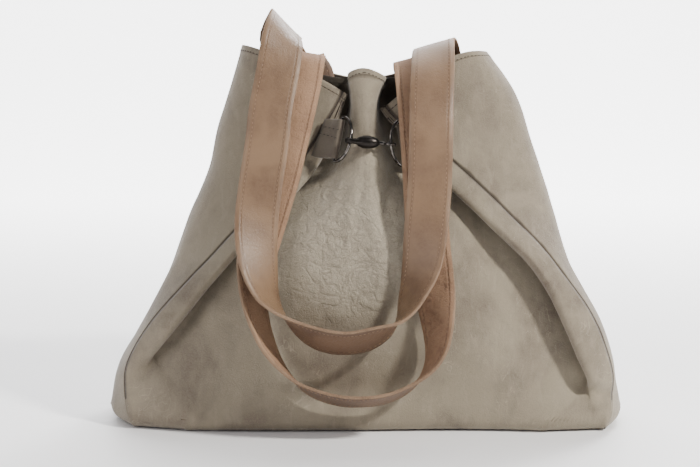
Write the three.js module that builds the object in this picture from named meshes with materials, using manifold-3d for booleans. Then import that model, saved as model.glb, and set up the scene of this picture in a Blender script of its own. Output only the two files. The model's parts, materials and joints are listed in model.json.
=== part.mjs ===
// A slouchy leather tote bag whose mouth is gathered to the front centre by a snap clip between two
// D-rings. Millimetres, +Z up, the front faces -Y, the origin is under the middle of the flat base.
import * as THREE from "three";
import { mergeVertices } from "three/addons/utils/BufferGeometryUtils.js";
import Module from "manifold-3d";

// Driving sizes of the leather body.
const HALF_WIDTH = 248; // half of the body's greatest width, just above the base
const HALF_DEPTH = 76; // half of the body's depth at the base
const HEIGHT = 357; // floor to the top of the outer folds at the mouth
const WALL = 2; // leather thickness
const HEM_WALL = 3.2; // turned hem at the mouth
const HEM_WIDTH = 7;
const BASE_RADIUS = 13; // rounding between the base and the walls
const SEAM_GAP = 0.35; // clearance between panels that meet at a seam
const TUCK_RADIUS = 3.5; // half the space inside a tucked fold
const ROLL_RADIUS = 9; // largest radius of the soft roll beside each side seam

// Driving sizes of the straps.
const STRAP_WIDTH = 40;
const STRAP_THICKNESS = 3;
const STRAP_REACH = 377; // floor to the highest fold of the straps
const STRAP_FRONT = 117; // furthest reach of the loops in front of the body's middle
const STRAP_SPREAD = 102; // furthest reach of the loops to the side
const RING_FALL = 1.2; // how fast a strap may fall back past the rings' height, per mm
const SEAT_GAP = 0.4; // clearance between a sewn end and the leather that it is sewn to

// Driving sizes of the rings, their tabs and the clip.
const RING_WIRE = 1.8; // radius
const RING_BAR = 42.5; // centre-line length of the straight bar
const RING_DEPTH = 18; // bar to the top of the bow, centre-lines
const RING_CORNER = 2.4; // radius of the bend between bar and bow
const RING_SWING = 48; // degrees that the bow points away from the side, towards the front
const TAB_WALL = 1.8;
const TAB_STAND = 1.9; // from a tab's sewn end to the middle line of the leather under it
const TAB_SLIT = 0.2; // space between the tab's two layers where they are sewn
const TAB_SHORT = 18; // sewn end to bar at the tab's top
const TAB_LONG = 25; // sewn end to bar at the tab's foot
const FIT = 0.35; // clearance round the hardware
const CLIP_LENGTH = 24; // body of the clip without hook and eye
const CLIP_HEIGHT = 12.6;
const CLIP_THICKNESS = 12;
const CLIP_DROOP = 5; // degrees that the clip hangs lower at the right
const HOOK_WIRE = 1.8; // half thickness
const HOOK_WIDTH = 2.6; // half width
const HOOK_REACH = 19; // clip centre to the hook's far centre-line
const HOOK_OPENING = 5.6; // inside the hook, front to back
const GATE_WIDTH = 4;
const GATE_THICKNESS = 2.4;
const GATE_BOSS = 1.7; // radius round the pin
const GATE_PIN_LENGTH = 9;
const GATE_PIN = 0.9; // radius
const EYE_WIRE = 1.5; // radius
const EYE_RADIUS = 4.6; // centre-line
const EYE_NECK = 3; // length of post that shows between the body and the eye
const POST_RADIUS = 1.8;
const POST_SEAT = 6; // length of post inside the body

const leather = new THREE.MeshStandardMaterial({ color: 0xa2998a, roughness: 0.85, metalness: 0 });
const brownLeather = new THREE.MeshStandardMaterial({ color: 0x7a5a45, roughness: 0.6, metalness: 0 });
const gunmetal = new THREE.MeshStandardMaterial({ color: 0x3a3938, roughness: 0.25, metalness: 1 });

// Sections of the body from the base to the mouth, for one half. X values are shares of HALF_WIDTH
// measured outwards, Y values are shares of HALF_DEPTH, z is a share of HEIGHT and radius a share of
// ROLL_RADIUS. open is 0 where the front lies plain and 1 where it is fully folded.
const SECTION_COLUMNS = [
  "z", "fold", "foldY", "wing", "wingY", "seam", "seamY", "roll", "rollY", "radius", "tuck", "tuckY",
  "p1", "p1Y", "p2", "p2Y", "p3", "p3Y", "front", "back", "open",
];
const LEFT_ROWS = [
  [0.0364, 0.99, -0.07, 0.95, -0.6, 0.895, -0.86, 0.85, -0.98, 0.3, 0.81, -1.01,
    0.665, -1.05, 0.465, -1.08, 0.235, -1.08, -1.06, 0.92, 0],
  [0.134, 0.962, -0.02, 0.95, -0.52, 0.915, -0.8, 0.86, -0.94, 0.4, 0.82, -0.9,
    0.665, -0.96, 0.465, -1, 0.235, -1.03, -1.04, 0.95, 0.12],
  [0.21, 0.903, 0, 0.9, -0.45, 0.88, -0.79, 0.775, -0.93, 0.6, 0.85, -0.76,
    0.68, -0.89, 0.475, -0.99, 0.24, -1.06, -1.09, 0.94, 0.75],
  [0.308, 0.815, 0.03, 0.824, -0.45, 0.785, -0.81, 0.67, -0.9, 0.85, 0.76, -0.69,
    0.6, -0.82, 0.42, -1, 0.21, -1.1, -1.13, 0.9, 1],
  [0.42, 0.742, 0.05, 0.728, -0.47, 0.63, -0.81, 0.54, -0.87, 0.85, 0.665, -0.56,
    0.475, -0.76, 0.34, -0.97, 0.17, -1.1, -1.13, 0.85, 1],
  [0.546, 0.685, 0.09, 0.6, -0.5, 0.464, -0.75, 0.375, -0.8, 0.8, 0.57, -0.4,
    0.37, -0.62, 0.25, -0.9, 0.12, -1.05, -1.09, 0.77, 1],
  [0.672, 0.6, 0.13, 0.445, -0.45, 0.274, -0.6, 0.194, -0.61, 0.5, 0.475, -0.22,
    0.3, -0.34, 0.15, -0.5, 0.09, -0.82, -0.93, 0.7, 1],
  [0.77, 0.579, 0.17, 0.395, -0.39, 0.177, -0.5, 0.128, -0.49, 0.35, 0.43, -0.07,
    0.26, -0.16, 0.085, -0.26, 0.06, -0.64, -0.78, 0.64, 1],
  [0.8, 0.522, 0.21, 0.35, -0.34, 0.125, -0.48, 0.098, -0.47, 0.28, 0.39, 0.02,
    0.22, -0.09, 0.06, -0.2, 0.05, -0.54, -0.67, 0.57, 1],
  [1, 0.472, 0.27, 0.29, -0.28, 0.08, -0.44, 0.071, -0.42, 0.2, 0.34, 0.1,
    0.2, -0.04, 0.06, -0.13, 0.062, -0.5, -0.62, 0.5, 1],
];
const RIGHT_ROWS = [
  [0.0364, 0.995, -0.1, 0.97, -0.68, 0.925, -0.98, 0.88, -1.12, 0.3, 0.82, -1.16,
    0.665, -1.08, 0.465, -1.02, 0.235, -1.02, -1.04, 0.92, 0],
  [0.134, 0.968, -0.06, 0.96, -0.57, 0.94, -0.88, 0.83, -1.09, 0.6, 0.9, -0.86,
    0.7, -0.97, 0.475, -1, 0.235, -1.03, -1.04, 0.95, 0.75],
  [0.21, 0.938, -0.02, 0.938, -0.52, 0.913, -0.86, 0.79, -1.01, 0.95, 0.882, -0.76,
    0.68, -0.89, 0.475, -1, 0.24, -1.06, -1.09, 0.94, 1],
  [0.308, 0.878, 0, 0.88, -0.5, 0.853, -0.86, 0.73, -0.95, 1, 0.82, -0.69,
    0.61, -0.84, 0.435, -1.01, 0.215, -1.1, -1.13, 0.9, 1],
  [0.42, 0.79, 0.03, 0.786, -0.5, 0.74, -0.83, 0.64, -0.9, 0.95, 0.735, -0.58,
    0.525, -0.79, 0.363, -0.98, 0.177, -1.1, -1.13, 0.85, 1],
  [0.546, 0.738, 0.07, 0.68, -0.5, 0.58, -0.78, 0.464, -0.84, 0.95, 0.64, -0.44,
    0.42, -0.65, 0.282, -0.9, 0.137, -1.05, -1.09, 0.77, 1],
  [0.672, 0.685, 0.1, 0.54, -0.45, 0.387, -0.62, 0.265, -0.62, 0.6, 0.53, -0.24,
    0.325, -0.36, 0.16, -0.5, 0.095, -0.82, -0.93, 0.7, 1],
  [0.77, 0.637, 0.14, 0.452, -0.38, 0.226, -0.51, 0.16, -0.5, 0.38, 0.46, -0.09,
    0.274, -0.16, 0.085, -0.26, 0.06, -0.64, -0.78, 0.64, 1],
  [0.8, 0.587, 0.18, 0.387, -0.32, 0.13, -0.47, 0.1, -0.46, 0.3, 0.42, 0.01,
    0.24, -0.09, 0.05, -0.18, 0.042, -0.54, -0.67, 0.57, 1],
  [1, 0.472, 0.27, 0.31, -0.25, 0.076, -0.44, 0.061, -0.42, 0.24, 0.35, 0.08,
    0.21, -0.03, 0.08, -0.1, 0.08, -0.5, -0.62, 0.5, 1],
];

// Rim height at each station of a half, as shares of HEIGHT, from the middle of the back to the
// middle of the front. The rim rises to the outer folds and dips at the side seams.
const STATION_NAMES = [
  "back", "backMid", "backCorner", "fold", "wingTurn", "wing", "seam", "rollFront", "rollEdge",
  "rollBack", "layer", "tuckFront", "tuckEnd", "tuckBack", "p1", "p2", "p3", "front",
];
const LEFT_RIM = [
  0.902, 0.966, 0.99, 1, 1, 0.963, 0.885, 0.88, 0.878,
  0.88, 0.915, 0.955, 0.962, 0.96, 0.93, 0.915, 0.935, 0.952,
];
const RIGHT_RIM = [
  0.902, 0.966, 0.985, 0.98, 0.988, 0.972, 0.845, 0.842, 0.84,
  0.845, 0.89, 0.945, 0.955, 0.955, 0.93, 0.915, 0.927, 0.952,
];
// The last rows leave level sections: from RIM_START upwards heights run to each station's own rim.
const RIM_START = 0.77; // share of HEIGHT
const RIM_ROWS = [0.5, 1]; // how far the last two rows stand between RIM_START and the rim

/** Name the values of a table row. */
function named(columns, values) {
  return Object.fromEntries(columns.map((name, index) => [name, values[index]]));
}

/** Catmull-Rom blend of four vectors. */
function blend(p0, p1, p2, p3, t) {
  const a = p1.clone().multiplyScalar(2);
  const b = p2.clone().sub(p0).multiplyScalar(t);
  const c = p0.clone().multiplyScalar(2).addScaledVector(p1, -5).addScaledVector(p2, 4).sub(p3);
  const d = p1.clone().multiplyScalar(3).addScaledVector(p2, -3).add(p3).sub(p0);
  return a.add(b).addScaledVector(c, t * t).addScaledVector(d, t * t * t).multiplyScalar(0.5);
}

/** Point of an open spline through points, at a position that counts in points. */
function along(points, position) {
  const last = points.length - 1;
  const index = Math.min(Math.max(Math.floor(position), 0), last - 1);
  const at = (i) => points[Math.min(Math.max(i, 0), last)];
  return blend(at(index - 1), at(index), at(index + 1), at(index + 2), position - index);
}

/** Stations of one half at one row, as points on the middle of the leather; side is -1 or 1. */
function stationsOf(row, side, rim, level) {
  const v = (x, y) => new THREE.Vector2(x * HALF_WIDTH, y * HALF_DEPTH);
  const back = v(0, row.back);
  const backMid = v(row.fold * 0.62, row.back * 0.97);
  const backCorner = v(row.fold * 0.93, row.foldY + (row.back - row.foldY) * 0.62);
  const fold = v(row.fold, row.foldY);
  const wing = v(row.wing, row.wingY);
  const wingTurn = v(row.fold + (row.wing - row.fold) * 0.22, row.foldY + (row.wingY - row.foldY) * 0.62);
  const seam = v(row.seam, row.seamY);
  const p1 = v(row.p1, row.p1Y);
  const radius = row.radius * ROLL_RADIUS;
  const roll = v(row.roll, row.rollY);
  const tuck = v(row.tuck, row.tuckY);
  const offset = (point, x, y) => new THREE.Vector2(point.x + x, point.y + y);
  const folded = [
    offset(roll, radius * 0.8, -radius * 0.95), roll, offset(roll, radius * 0.9, radius),
    offset(roll.clone().lerp(tuck, 0.55), 0, radius * 0.4 - TUCK_RADIUS * 0.5),
    offset(tuck, -TUCK_RADIUS, -TUCK_RADIUS), tuck, offset(tuck, -TUCK_RADIUS, TUCK_RADIUS),
  ];
  const plainShare = 1 / (folded.length + 1);
  const folds = folded.map((point, i) => seam.clone().lerp(p1, (i + 1) * plainShare).lerp(point, row.open));
  const plan = [
    back, backMid, backCorner, fold, wingTurn, wing, seam, ...folds, p1,
    v(row.p2, row.p2Y), v(row.p3, row.p3Y), v(0, row.front),
  ];
  return plan.map((point, i) => {
    const top = RIM_START + (rim[i] - RIM_START) * level;
    return new THREE.Vector3(side * point.x, point.y, (level > 0 ? top : row.z) * HEIGHT);
  });
}

/** All stations of one half, one list for each row. */
function halfOf(rows, side, rim) {
  const firstRimRow = rows.length - RIM_ROWS.length;
  return rows.map((values, index) => {
    const level = index < firstRimRow ? 0 : RIM_ROWS[index - firstRimRow];
    return stationsOf(named(SECTION_COLUMNS, values), side, rim, level);
  });
}

const left = halfOf(LEFT_ROWS, -1, LEFT_RIM);
const right = halfOf(RIGHT_ROWS, 1, RIGHT_RIM);
const HALF_STATIONS = STATION_NAMES.length - 1;
const LOOP = 2 * HALF_STATIONS;
const LAST_ROW = LEFT_ROWS.length - 1;

// A position round the body counts in stations: 0 is the left seam, it grows through the front's
// middle to the right seam, and on round the back to the left seam again.
const SEAM_INDEX = STATION_NAMES.indexOf("seam");
const FRONT_SPAN = 2 * (HALF_STATIONS - SEAM_INDEX);

/** Stations of a whole row in the order of that position. */
function loopOf(row) {
  const leftHalf = left[row];
  const rightHalf = right[row];
  const front = leftHalf.slice(SEAM_INDEX).concat(rightHalf.slice(SEAM_INDEX, -1).reverse());
  const back = rightHalf.slice(0, SEAM_INDEX).reverse().concat(leftHalf.slice(1, SEAM_INDEX));
  return front.concat(back);
}

const loops = left.map((_, row) => loopOf(row));

/** Middle of the leather at a position round the body and a height that counts in rows. */
function middle(round, height) {
  const base = Math.floor(round);
  const column = (i) => loops.map((loop) => loop[((base + i) % LOOP + LOOP) % LOOP]);
  const four = [-1, 0, 1, 2].map((i) => along(column(i), height));
  return blend(...four, round - base);
}

/** Unit normal of the leather there, pointing to the outside. */
function outward(round, height) {
  const step = 0.04;
  const low = Math.max(height - step, 0);
  const high = Math.min(height + step, LAST_ROW);
  const across = middle(round + step, height).sub(middle(round - step, height));
  const up = middle(round, high).sub(middle(round, low));
  return across.cross(up).normalize();
}

/** Height, counted in rows, at which the leather stands a distance below its rim. */
function rowBelowRim(round, distance) {
  let low = LAST_ROW - 1.9;
  let high = LAST_ROW;
  const target = middle(round, LAST_ROW).z - distance;
  for (let i = 0; i < 24; i += 1) {
    const half = (low + high) / 2;
    if (middle(round, half).z < target) {
      low = half;
    } else {
      high = half;
    }
  }
  return low;
}

/** A mesh geometry from points and triangles, with shared points. */
function solid(points, faces) {
  const geometry = new THREE.BufferGeometry();
  const flat = new Float32Array(points.flatMap((p) => [p.x, p.y, p.z]));
  geometry.setAttribute("position", new THREE.BufferAttribute(flat, 3));
  geometry.setIndex(faces);
  geometry.computeVertexNormals();
  return geometry;
}

/** Two triangles on four corners in counter-clockwise order. */
function quad(a, b, c, d) {
  return [a, b, c, a, c, d];
}

/** Closed sheet between an outer and an inner grid of points, grids[column][row]. */
function sheetBetween(outer, inner) {
  const columns = outer.length;
  const rows = outer[0].length;
  const points = [...outer.flat(), ...inner.flat()];
  const out = (i, j) => i * rows + j;
  const inn = (i, j) => columns * rows + i * rows + j;
  const faces = [];
  for (let i = 0; i < columns - 1; i += 1) {
    for (let j = 0; j < rows - 1; j += 1) {
      faces.push(...quad(out(i, j), out(i + 1, j), out(i + 1, j + 1), out(i, j + 1)));
      faces.push(...quad(inn(i, j), inn(i, j + 1), inn(i + 1, j + 1), inn(i + 1, j)));
    }
    faces.push(...quad(out(i + 1, 0), out(i, 0), inn(i, 0), inn(i + 1, 0)));
    faces.push(...quad(out(i, rows - 1), out(i + 1, rows - 1), inn(i + 1, rows - 1), inn(i, rows - 1)));
  }
  for (let j = 0; j < rows - 1; j += 1) {
    const end = columns - 1;
    faces.push(...quad(out(0, j), out(0, j + 1), inn(0, j + 1), inn(0, j)));
    faces.push(...quad(out(end, j + 1), out(end, j), inn(end, j), inn(end, j + 1)));
  }
  return solid(points, faces);
}

// Steps of the panels' grids: positions within each span between stations, and rows of the body.
const STEPS_PER_STATION = 2;
const BODY_ROWS = [0, 0.5, 1, 1.5, 2, 2.5, 3, 3.5, 4, 4.5, 5, 5.5, 6, 6.5, 7, 7.5, 8];

/** One leather panel between two positions round the body. */
function panel(from, to) {
  const count = Math.round((to - from) * STEPS_PER_STATION);
  const outer = [];
  const inner = [];
  for (let i = 0; i <= count; i += 1) {
    const round = from + ((to - from) * i) / count;
    const hemRow = rowBelowRim(round, HEM_WIDTH);
    const rows = [...BODY_ROWS, (LAST_ROW - 1 + hemRow) / 2, hemRow - 0.01, hemRow + 0.01, LAST_ROW];
    const edge = i === 0 ? 1 : -1;
    const atEdge = i === 0 || i === count;
    const column = rows.map((row, j) => {
      const point = middle(round, row);
      if (atEdge) {
        const across = middle(round + 0.02, row).sub(middle(round - 0.02, row)).normalize();
        point.addScaledVector(across, edge * SEAM_GAP * 0.5);
      }
      if (j === 0) {
        point.z += SEAM_GAP * 1.5;
      }
      return { point, normal: outward(round, row), wall: row > hemRow ? HEM_WALL : WALL };
    });
    outer.push(column.map((c) => c.point.clone().addScaledVector(c.normal, c.wall / 2)));
    inner.push(column.map((c) => c.point.clone().addScaledVector(c.normal, -c.wall / 2)));
  }
  return sheetBetween(outer, inner);
}

/** The tray-shaped bottom, with a flat underside and a rounded edge that meets the walls. */
function baseTray() {
  const count = LOOP * STEPS_PER_STATION;
  const turns = [0, 0.3, 0.65, 1].map((share) => (share * Math.PI) / 2);
  const ring = (inset, wallShift, z) => {
    const points = [];
    for (let i = 0; i < count; i += 1) {
      const round = i / STEPS_PER_STATION;
      const normal = outward(round, 0).setZ(0).normalize();
      const point = middle(round, 0).addScaledVector(normal, wallShift - inset);
      points.push(point.setZ(z));
    }
    return points;
  };
  const top = loops[0][0].z;
  const outerRings = turns.map((t) => ring(
    BASE_RADIUS * (1 - Math.cos(t)), WALL / 2, top * (1 - Math.sin(t)),
  ));
  const innerRings = turns.map((t) => {
    const inset = (BASE_RADIUS - WALL) * (1 - Math.cos(t));
    return ring(inset, -WALL / 2, WALL + (top - WALL) * (1 - Math.sin(t)));
  });
  const rings = [...innerRings.reverse(), ...outerRings];
  const points = rings.flat();
  const at = (k, i) => k * count + (i % count);
  const faces = [];
  for (let k = 0; k < rings.length - 1; k += 1) {
    for (let i = 0; i < count; i += 1) {
      faces.push(...quad(at(k, i), at(k + 1, i), at(k + 1, i + 1), at(k, i + 1)));
    }
  }
  const cap = (k, flip) => {
    const centre = points.push(new THREE.Vector3(0, 0, rings[k][0].z)) - 1;
    for (let i = 0; i < count; i += 1) {
      faces.push(centre, flip ? at(k, i + 1) : at(k, i), flip ? at(k, i) : at(k, i + 1));
    }
  };
  cap(0, false);
  cap(rings.length - 1, true);
  return solid(points, faces);
}

/** Sweep a closed outline of [across, thick] pairs along frames of point, across and thick. */
function sweep(frames, outline, closed) {
  const size = outline.length;
  const points = frames.flatMap((frame) => outline.map(([a, b]) => (
    frame.point.clone().addScaledVector(frame.across, a).addScaledVector(frame.thick, b)
  )));
  const faces = [];
  const spans = closed ? frames.length : frames.length - 1;
  for (let k = 0; k < spans; k += 1) {
    const next = (k + 1) % frames.length;
    for (let i = 0; i < size; i += 1) {
      const j = (i + 1) % size;
      faces.push(...quad(k * size + i, k * size + j, next * size + j, next * size + i));
    }
  }
  if (!closed) {
    const end = (frames.length - 1) * size;
    for (let i = 1; i < size - 1; i += 1) {
      faces.push(0, i + 1, i, end, end + i, end + i + 1);
    }
  }
  return solid(points, faces);
}

/** Outline of a round or oval rod, in the order that sweep wants. */
function rodOutline(radius, otherRadius, sides) {
  return Array.from({ length: sides }, (_, i) => {
    const angle = (2 * Math.PI * i) / sides;
    return [radius * Math.cos(angle), otherRadius * Math.sin(angle)];
  });
}

/** Frames of a strap from rows of centre and width direction, at even steps. */
function strapFrames(rows, steps) {
  const centres = rows.map((row) => row.centre);
  const widths = rows.map((row) => row.width);
  return Array.from({ length: steps + 1 }, (_, i) => {
    const position = ((rows.length - 1) * i) / steps;
    const point = along(centres, position);
    const ahead = along(centres, Math.min(position + 0.05, rows.length - 1));
    const behind = along(centres, Math.max(position - 0.05, 0));
    const tangent = ahead.sub(behind).normalize();
    const across = along(widths, position);
    across.addScaledVector(tangent, -across.dot(tangent)).normalize();
    return { point, across, thick: tangent.clone().cross(across).normalize() };
  });
}

/** Middle of the leather at a level, on the flat facets of its panel. */
function onFacets(round, level) {
  const low = Math.floor(round * STEPS_PER_STATION) / STEPS_PER_STATION;
  const share = (round - low) * STEPS_PER_STATION;
  const high = low + 1 / STEPS_PER_STATION;
  const start = middle(low, rowAtLevel(low, level));
  return start.lerp(middle(high, rowAtLevel(high, level)), share);
}

/** Points of the leather at one level, spread over a strap's width about a place. */
function wallUnderStrap(round, level) {
  const centre = onFacets(round, level);
  const spread = 1.08; // a little past the strap's edges
  return [-1, -0.75, -0.5, -0.25, 0, 0.25, 0.5, 0.75, 1].map((share) => {
    const probe = 0.5 * (share < 0 ? -1 : 1);
    const reach = onFacets(round + probe, level).distanceTo(centre);
    const shift = (probe * Math.abs(share) * spread * STRAP_WIDTH) / 2 / reach;
    return onFacets(round + shift, level);
  });
}

/** Strap rows that lie flat on the inside of a panel, from the sewn end up to the hem. */
function sewnEnd(round, width) {
  return SEWN_SEATS.map(([depthShare, wallShare]) => {
    const distance = SEWN_DEPTH * depthShare;
    const wall = WALL * wallShare;
    const centre = middle(round, rowBelowRim(round, distance));
    const line = wallUnderStrap(round, centre.z);
    const across = line[line.length - 1].clone().sub(line[0]).setZ(0).normalize();
    across.multiplyScalar(Math.sign(across.dot(width)));
    const inward = outward(round, rowAtLevel(round, centre.z)).setZ(0).normalize().negate();
    inward.addScaledVector(across, -inward.dot(across)).normalize();
    const bulge = Math.max(...line.map((point) => point.sub(centre).dot(inward)));
    const stand = bulge + wall / 2 + SEAT_GAP + STRAP_THICKNESS / 2;
    return { centre: centre.addScaledVector(inward, stand), width: across };
  });
}

/** Furthest back that a strap may run at a level, so that it passes in front of the rings. */
function aheadOfRings(z) {
  const beyond = Math.abs(z - leftBarZ) - RING_BAR / 2;
  return barY - RING_WIRE - FIT - TAB_WALL - STRAP_THICKNESS + Math.max(beyond, 0) * RING_FALL;
}

/** A strap with both ends sewn inside; columns are shares of the strap's reach, and its width line. */
function strap(startRound, table, endRound, steps) {
  const rows = table.map((values) => {
    const row = named(["x", "y", "z", "wx", "wy", "wz"], values);
    const z = row.z * STRAP_REACH;
    const y = Math.min(-row.y * STRAP_FRONT, row.y > 0 ? aheadOfRings(z) : Infinity);
    return {
      centre: new THREE.Vector3(row.x * STRAP_SPREAD, y, z),
      width: new THREE.Vector3(row.wx, row.wy, row.wz).normalize(),
    };
  });
  const start = sewnEnd(startRound, rows[0].width);
  const end = sewnEnd(endRound, rows[rows.length - 1].width).reverse();
  const half = STRAP_WIDTH / 2;
  const thin = STRAP_THICKNESS / 2;
  const outline = [[-half, -thin], [half, -thin], [half, thin], [-half, thin]];
  return sweep(strapFrames([...start, ...rows, ...end], steps), outline, false);
}

const STRAP_STEPS = 60; // cross sections along each strap
const SEWN_DEPTH = 46; // length of strap that lies inside, below the rim

// How a strap's sewn end leaves the wall: shares of SEWN_DEPTH below the rim, of WALL that it clears.
const SEWN_SEATS = [[1, 1], [0.5, 2.7], [0.13, 4.4]];

// The strap from the back: over the rim, down the front, twisted into its loop, and up again.
const BACK_STRAP_ROWS = [
  [-0.8, -0.17, 0.955, 0.92, 0, -0.4],
  [-0.75, -0.07, 0.993, 0.78, 0, -0.62],
  [-0.73, 0.1, 1, 0.68, 0.05, -0.73],
  [-0.75, 0.3, 0.965, 0.85, 0.05, -0.5],
  [-0.79, 0.42, 0.89, 0.98, 0, -0.15],
  [-0.85, 0.55, 0.8, 1, 0, 0],
  [-0.88, 0.63, 0.72, 1, 0, 0],
  [-0.93, 0.7, 0.63, 1, 0, 0.05],
  [-0.97, 0.8, 0.53, 1, 0.25, 0.05],
  [-0.95, 0.89, 0.44, 0.8, 0.6, 0.1],
  [-0.86, 0.95, 0.36, 0.5, 0.85, -0.2],
  [-0.66, 0.985, 0.3, 0.2, 0.8, -0.5],
  [-0.42, 1, 0.262, 0, 0.76, -0.64],
  [-0.17, 1, 0.25, 0, 0.76, -0.65],
  [0.07, 1, 0.264, -0.05, 0.76, -0.64],
  [0.29, 0.985, 0.302, -0.3, 0.8, -0.45],
  [0.42, 0.95, 0.37, -0.6, 0.75, -0.2],
  [0.5, 0.9, 0.44, -0.85, 0.5, 0],
  [0.54, 0.84, 0.53, -1, 0.2, 0],
  [0.57, 0.78, 0.63, -1, 0, 0],
  [0.58, 0.74, 0.73, -1, 0, 0],
  [0.59, 0.64, 0.82, -1, 0, 0],
  [0.61, 0.44, 0.9, -1, 0, -0.1],
  [0.63, 0.2, 0.946, -0.96, 0, -0.27],
  [0.66, -0.03, 0.95, -0.96, 0, -0.27],
  [0.7, -0.12, 0.935, -0.98, 0, -0.15],
];

// The strap from the front: over the rim under the other strap, and down into the lower loop.
const FRONT_STRAP_ROWS = [
  [-0.57, -0.15, 0.91, 1, 0, -0.1],
  [-0.555, 0.08, 0.93, 0.98, 0, -0.17],
  [-0.565, 0.26, 0.912, 0.99, 0, -0.12],
  [-0.59, 0.35, 0.865, 1, 0, -0.08],
  [-0.64, 0.44, 0.8, 1, 0, 0],
  [-0.71, 0.52, 0.72, 1, 0, 0.1],
  [-0.78, 0.6, 0.64, 1, 0, 0.15],
  [-0.87, 0.68, 0.56, 0.95, 0.2, 0.2],
  [-0.96, 0.78, 0.47, 0.85, 0.5, 0.1],
  [-1, 0.86, 0.39, 0.6, 0.8, 0],
  [-0.96, 0.9, 0.31, 0.4, 0.9, -0.1],
  [-0.83, 0.92, 0.22, 0.3, 0.9, -0.3],
  [-0.6, 0.93, 0.145, 0.15, 0.88, -0.4],
  [-0.32, 0.93, 0.108, 0, 0.9, -0.42],
  [-0.04, 0.93, 0.1, 0, 0.9, -0.42],
  [0.24, 0.93, 0.113, 0, 0.9, -0.42],
  [0.48, 0.93, 0.155, -0.15, 0.88, -0.4],
  [0.62, 0.92, 0.22, -0.4, 0.88, -0.25],
  [0.64, 0.89, 0.3, -0.7, 0.7, 0],
  [0.61, 0.84, 0.38, -0.9, 0.35, 0],
  [0.57, 0.77, 0.46, -1, 0.1, 0],
  [0.545, 0.7, 0.56, -1, 0, 0],
  [0.525, 0.66, 0.66, -1, 0, 0],
  [0.5, 0.62, 0.76, -1, 0, 0],
  [0.475, 0.46, 0.85, -1, 0, -0.1],
  [0.46, 0.27, 0.9, -0.97, 0, -0.24],
  [0.455, 0.09, 0.918, -0.96, 0, -0.28],
  [0.47, -0.09, 0.89, -0.98, 0, -0.2],
];

const SEAT_STATIONS = {
  backLeft: LOOP - SEAM_INDEX + 1,
  backRight: FRONT_SPAN + SEAM_INDEX - 1,
  frontLeft: STATION_NAMES.indexOf("p1") - SEAM_INDEX,
  frontRight: FRONT_SPAN - (STATION_NAMES.indexOf("p1") - SEAM_INDEX),
};

/** Height, counted in rows, at which the leather reaches a level. */
function rowAtLevel(round, level) {
  let low = 0;
  let high = LAST_ROW;
  for (let i = 0; i < 22; i += 1) {
    const half = (low + high) / 2;
    if (middle(round, half).z < level) {
      low = half;
    } else {
      high = half;
    }
  }
  return low;
}

/** Foremost Y of the leather's outer face at a place seen from the front. */
function frontAt(x, z) {
  let foremost = Infinity;
  let before = null;
  for (let round = -3; round <= FRONT_SPAN + 3; round += 1 / STEPS_PER_STATION) {
    const point = middle(round, rowAtLevel(round, z));
    if (before && (before.x - x) * (point.x - x) <= 0) {
      const share = (x - before.x) / (point.x - before.x || 1);
      foremost = Math.min(foremost, before.y + (point.y - before.y) * share);
    }
    before = point;
  }
  return foremost - WALL / 2;
}

/** Turn a geometry into a manifold solid. */
function toSolid(geometry) {
  const plain = geometry.clone();
  plain.deleteAttribute("normal");
  plain.deleteAttribute("uv");
  const merged = mergeVertices(plain, 1e-4);
  return new wasm.Manifold(new wasm.Mesh({
    numProp: 3,
    vertProperties: new Float32Array(merged.attributes.position.array),
    triVerts: new Uint32Array(merged.index.array),
  }));
}

/** Turn a manifold solid back into a geometry. */
function toGeometry(body) {
  const mesh = body.getMesh();
  const geometry = new THREE.BufferGeometry();
  const flat = new Float32Array((mesh.vertProperties.length / mesh.numProp) * 3);
  for (let i = 0; i * 3 < flat.length; i += 1) {
    flat.set(mesh.vertProperties.subarray(i * mesh.numProp, i * mesh.numProp + 3), i * 3);
  }
  geometry.setAttribute("position", new THREE.BufferAttribute(flat, 3));
  geometry.setIndex(Array.from(mesh.triVerts));
  geometry.computeVertexNormals();
  return geometry;
}

/** Box between two corners. */
function block(low, high) {
  const size = low.map((value, i) => high[i] - value);
  const geometry = new THREE.BoxGeometry(...size);
  return geometry.translate(...low.map((value, i) => (value + high[i]) / 2));
}

/** Upright cylinder about the Z direction through a place. */
function pinAt(x, y, radius, length, sides) {
  const geometry = new THREE.CylinderGeometry(radius, radius, length, sides);
  return geometry.rotateX(Math.PI / 2).translate(x, y, 0);
}

/** Closed D path of a ring, bar along Y through the origin and bow towards +X. */
function ringPath() {
  const half = RING_BAR / 2;
  const path = [new THREE.Vector2(0, -half * 0.4), new THREE.Vector2(0, half * 0.4)];
  for (let i = 0; i <= 3; i += 1) {
    const angle = Math.PI - (i / 3) * (Math.PI / 2);
    path.push(new THREE.Vector2(
      RING_CORNER * (1 + Math.cos(angle)), half - RING_CORNER * (1 - Math.sin(angle)),
    ));
  }
  const bowDepth = RING_DEPTH - RING_CORNER;
  const steps = 14;
  for (let i = 1; i < steps; i += 1) {
    const angle = Math.PI / 2 - (i / steps) * Math.PI;
    path.push(new THREE.Vector2(RING_CORNER + bowDepth * Math.cos(angle), half * Math.sin(angle)));
  }
  for (let i = 0; i <= 3; i += 1) {
    const angle = -Math.PI / 2 - (i / 3) * (Math.PI / 2);
    path.push(new THREE.Vector2(
      RING_CORNER * (1 + Math.cos(angle)), -half + RING_CORNER * (1 + Math.sin(angle)),
    ));
  }
  return path;
}

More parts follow.
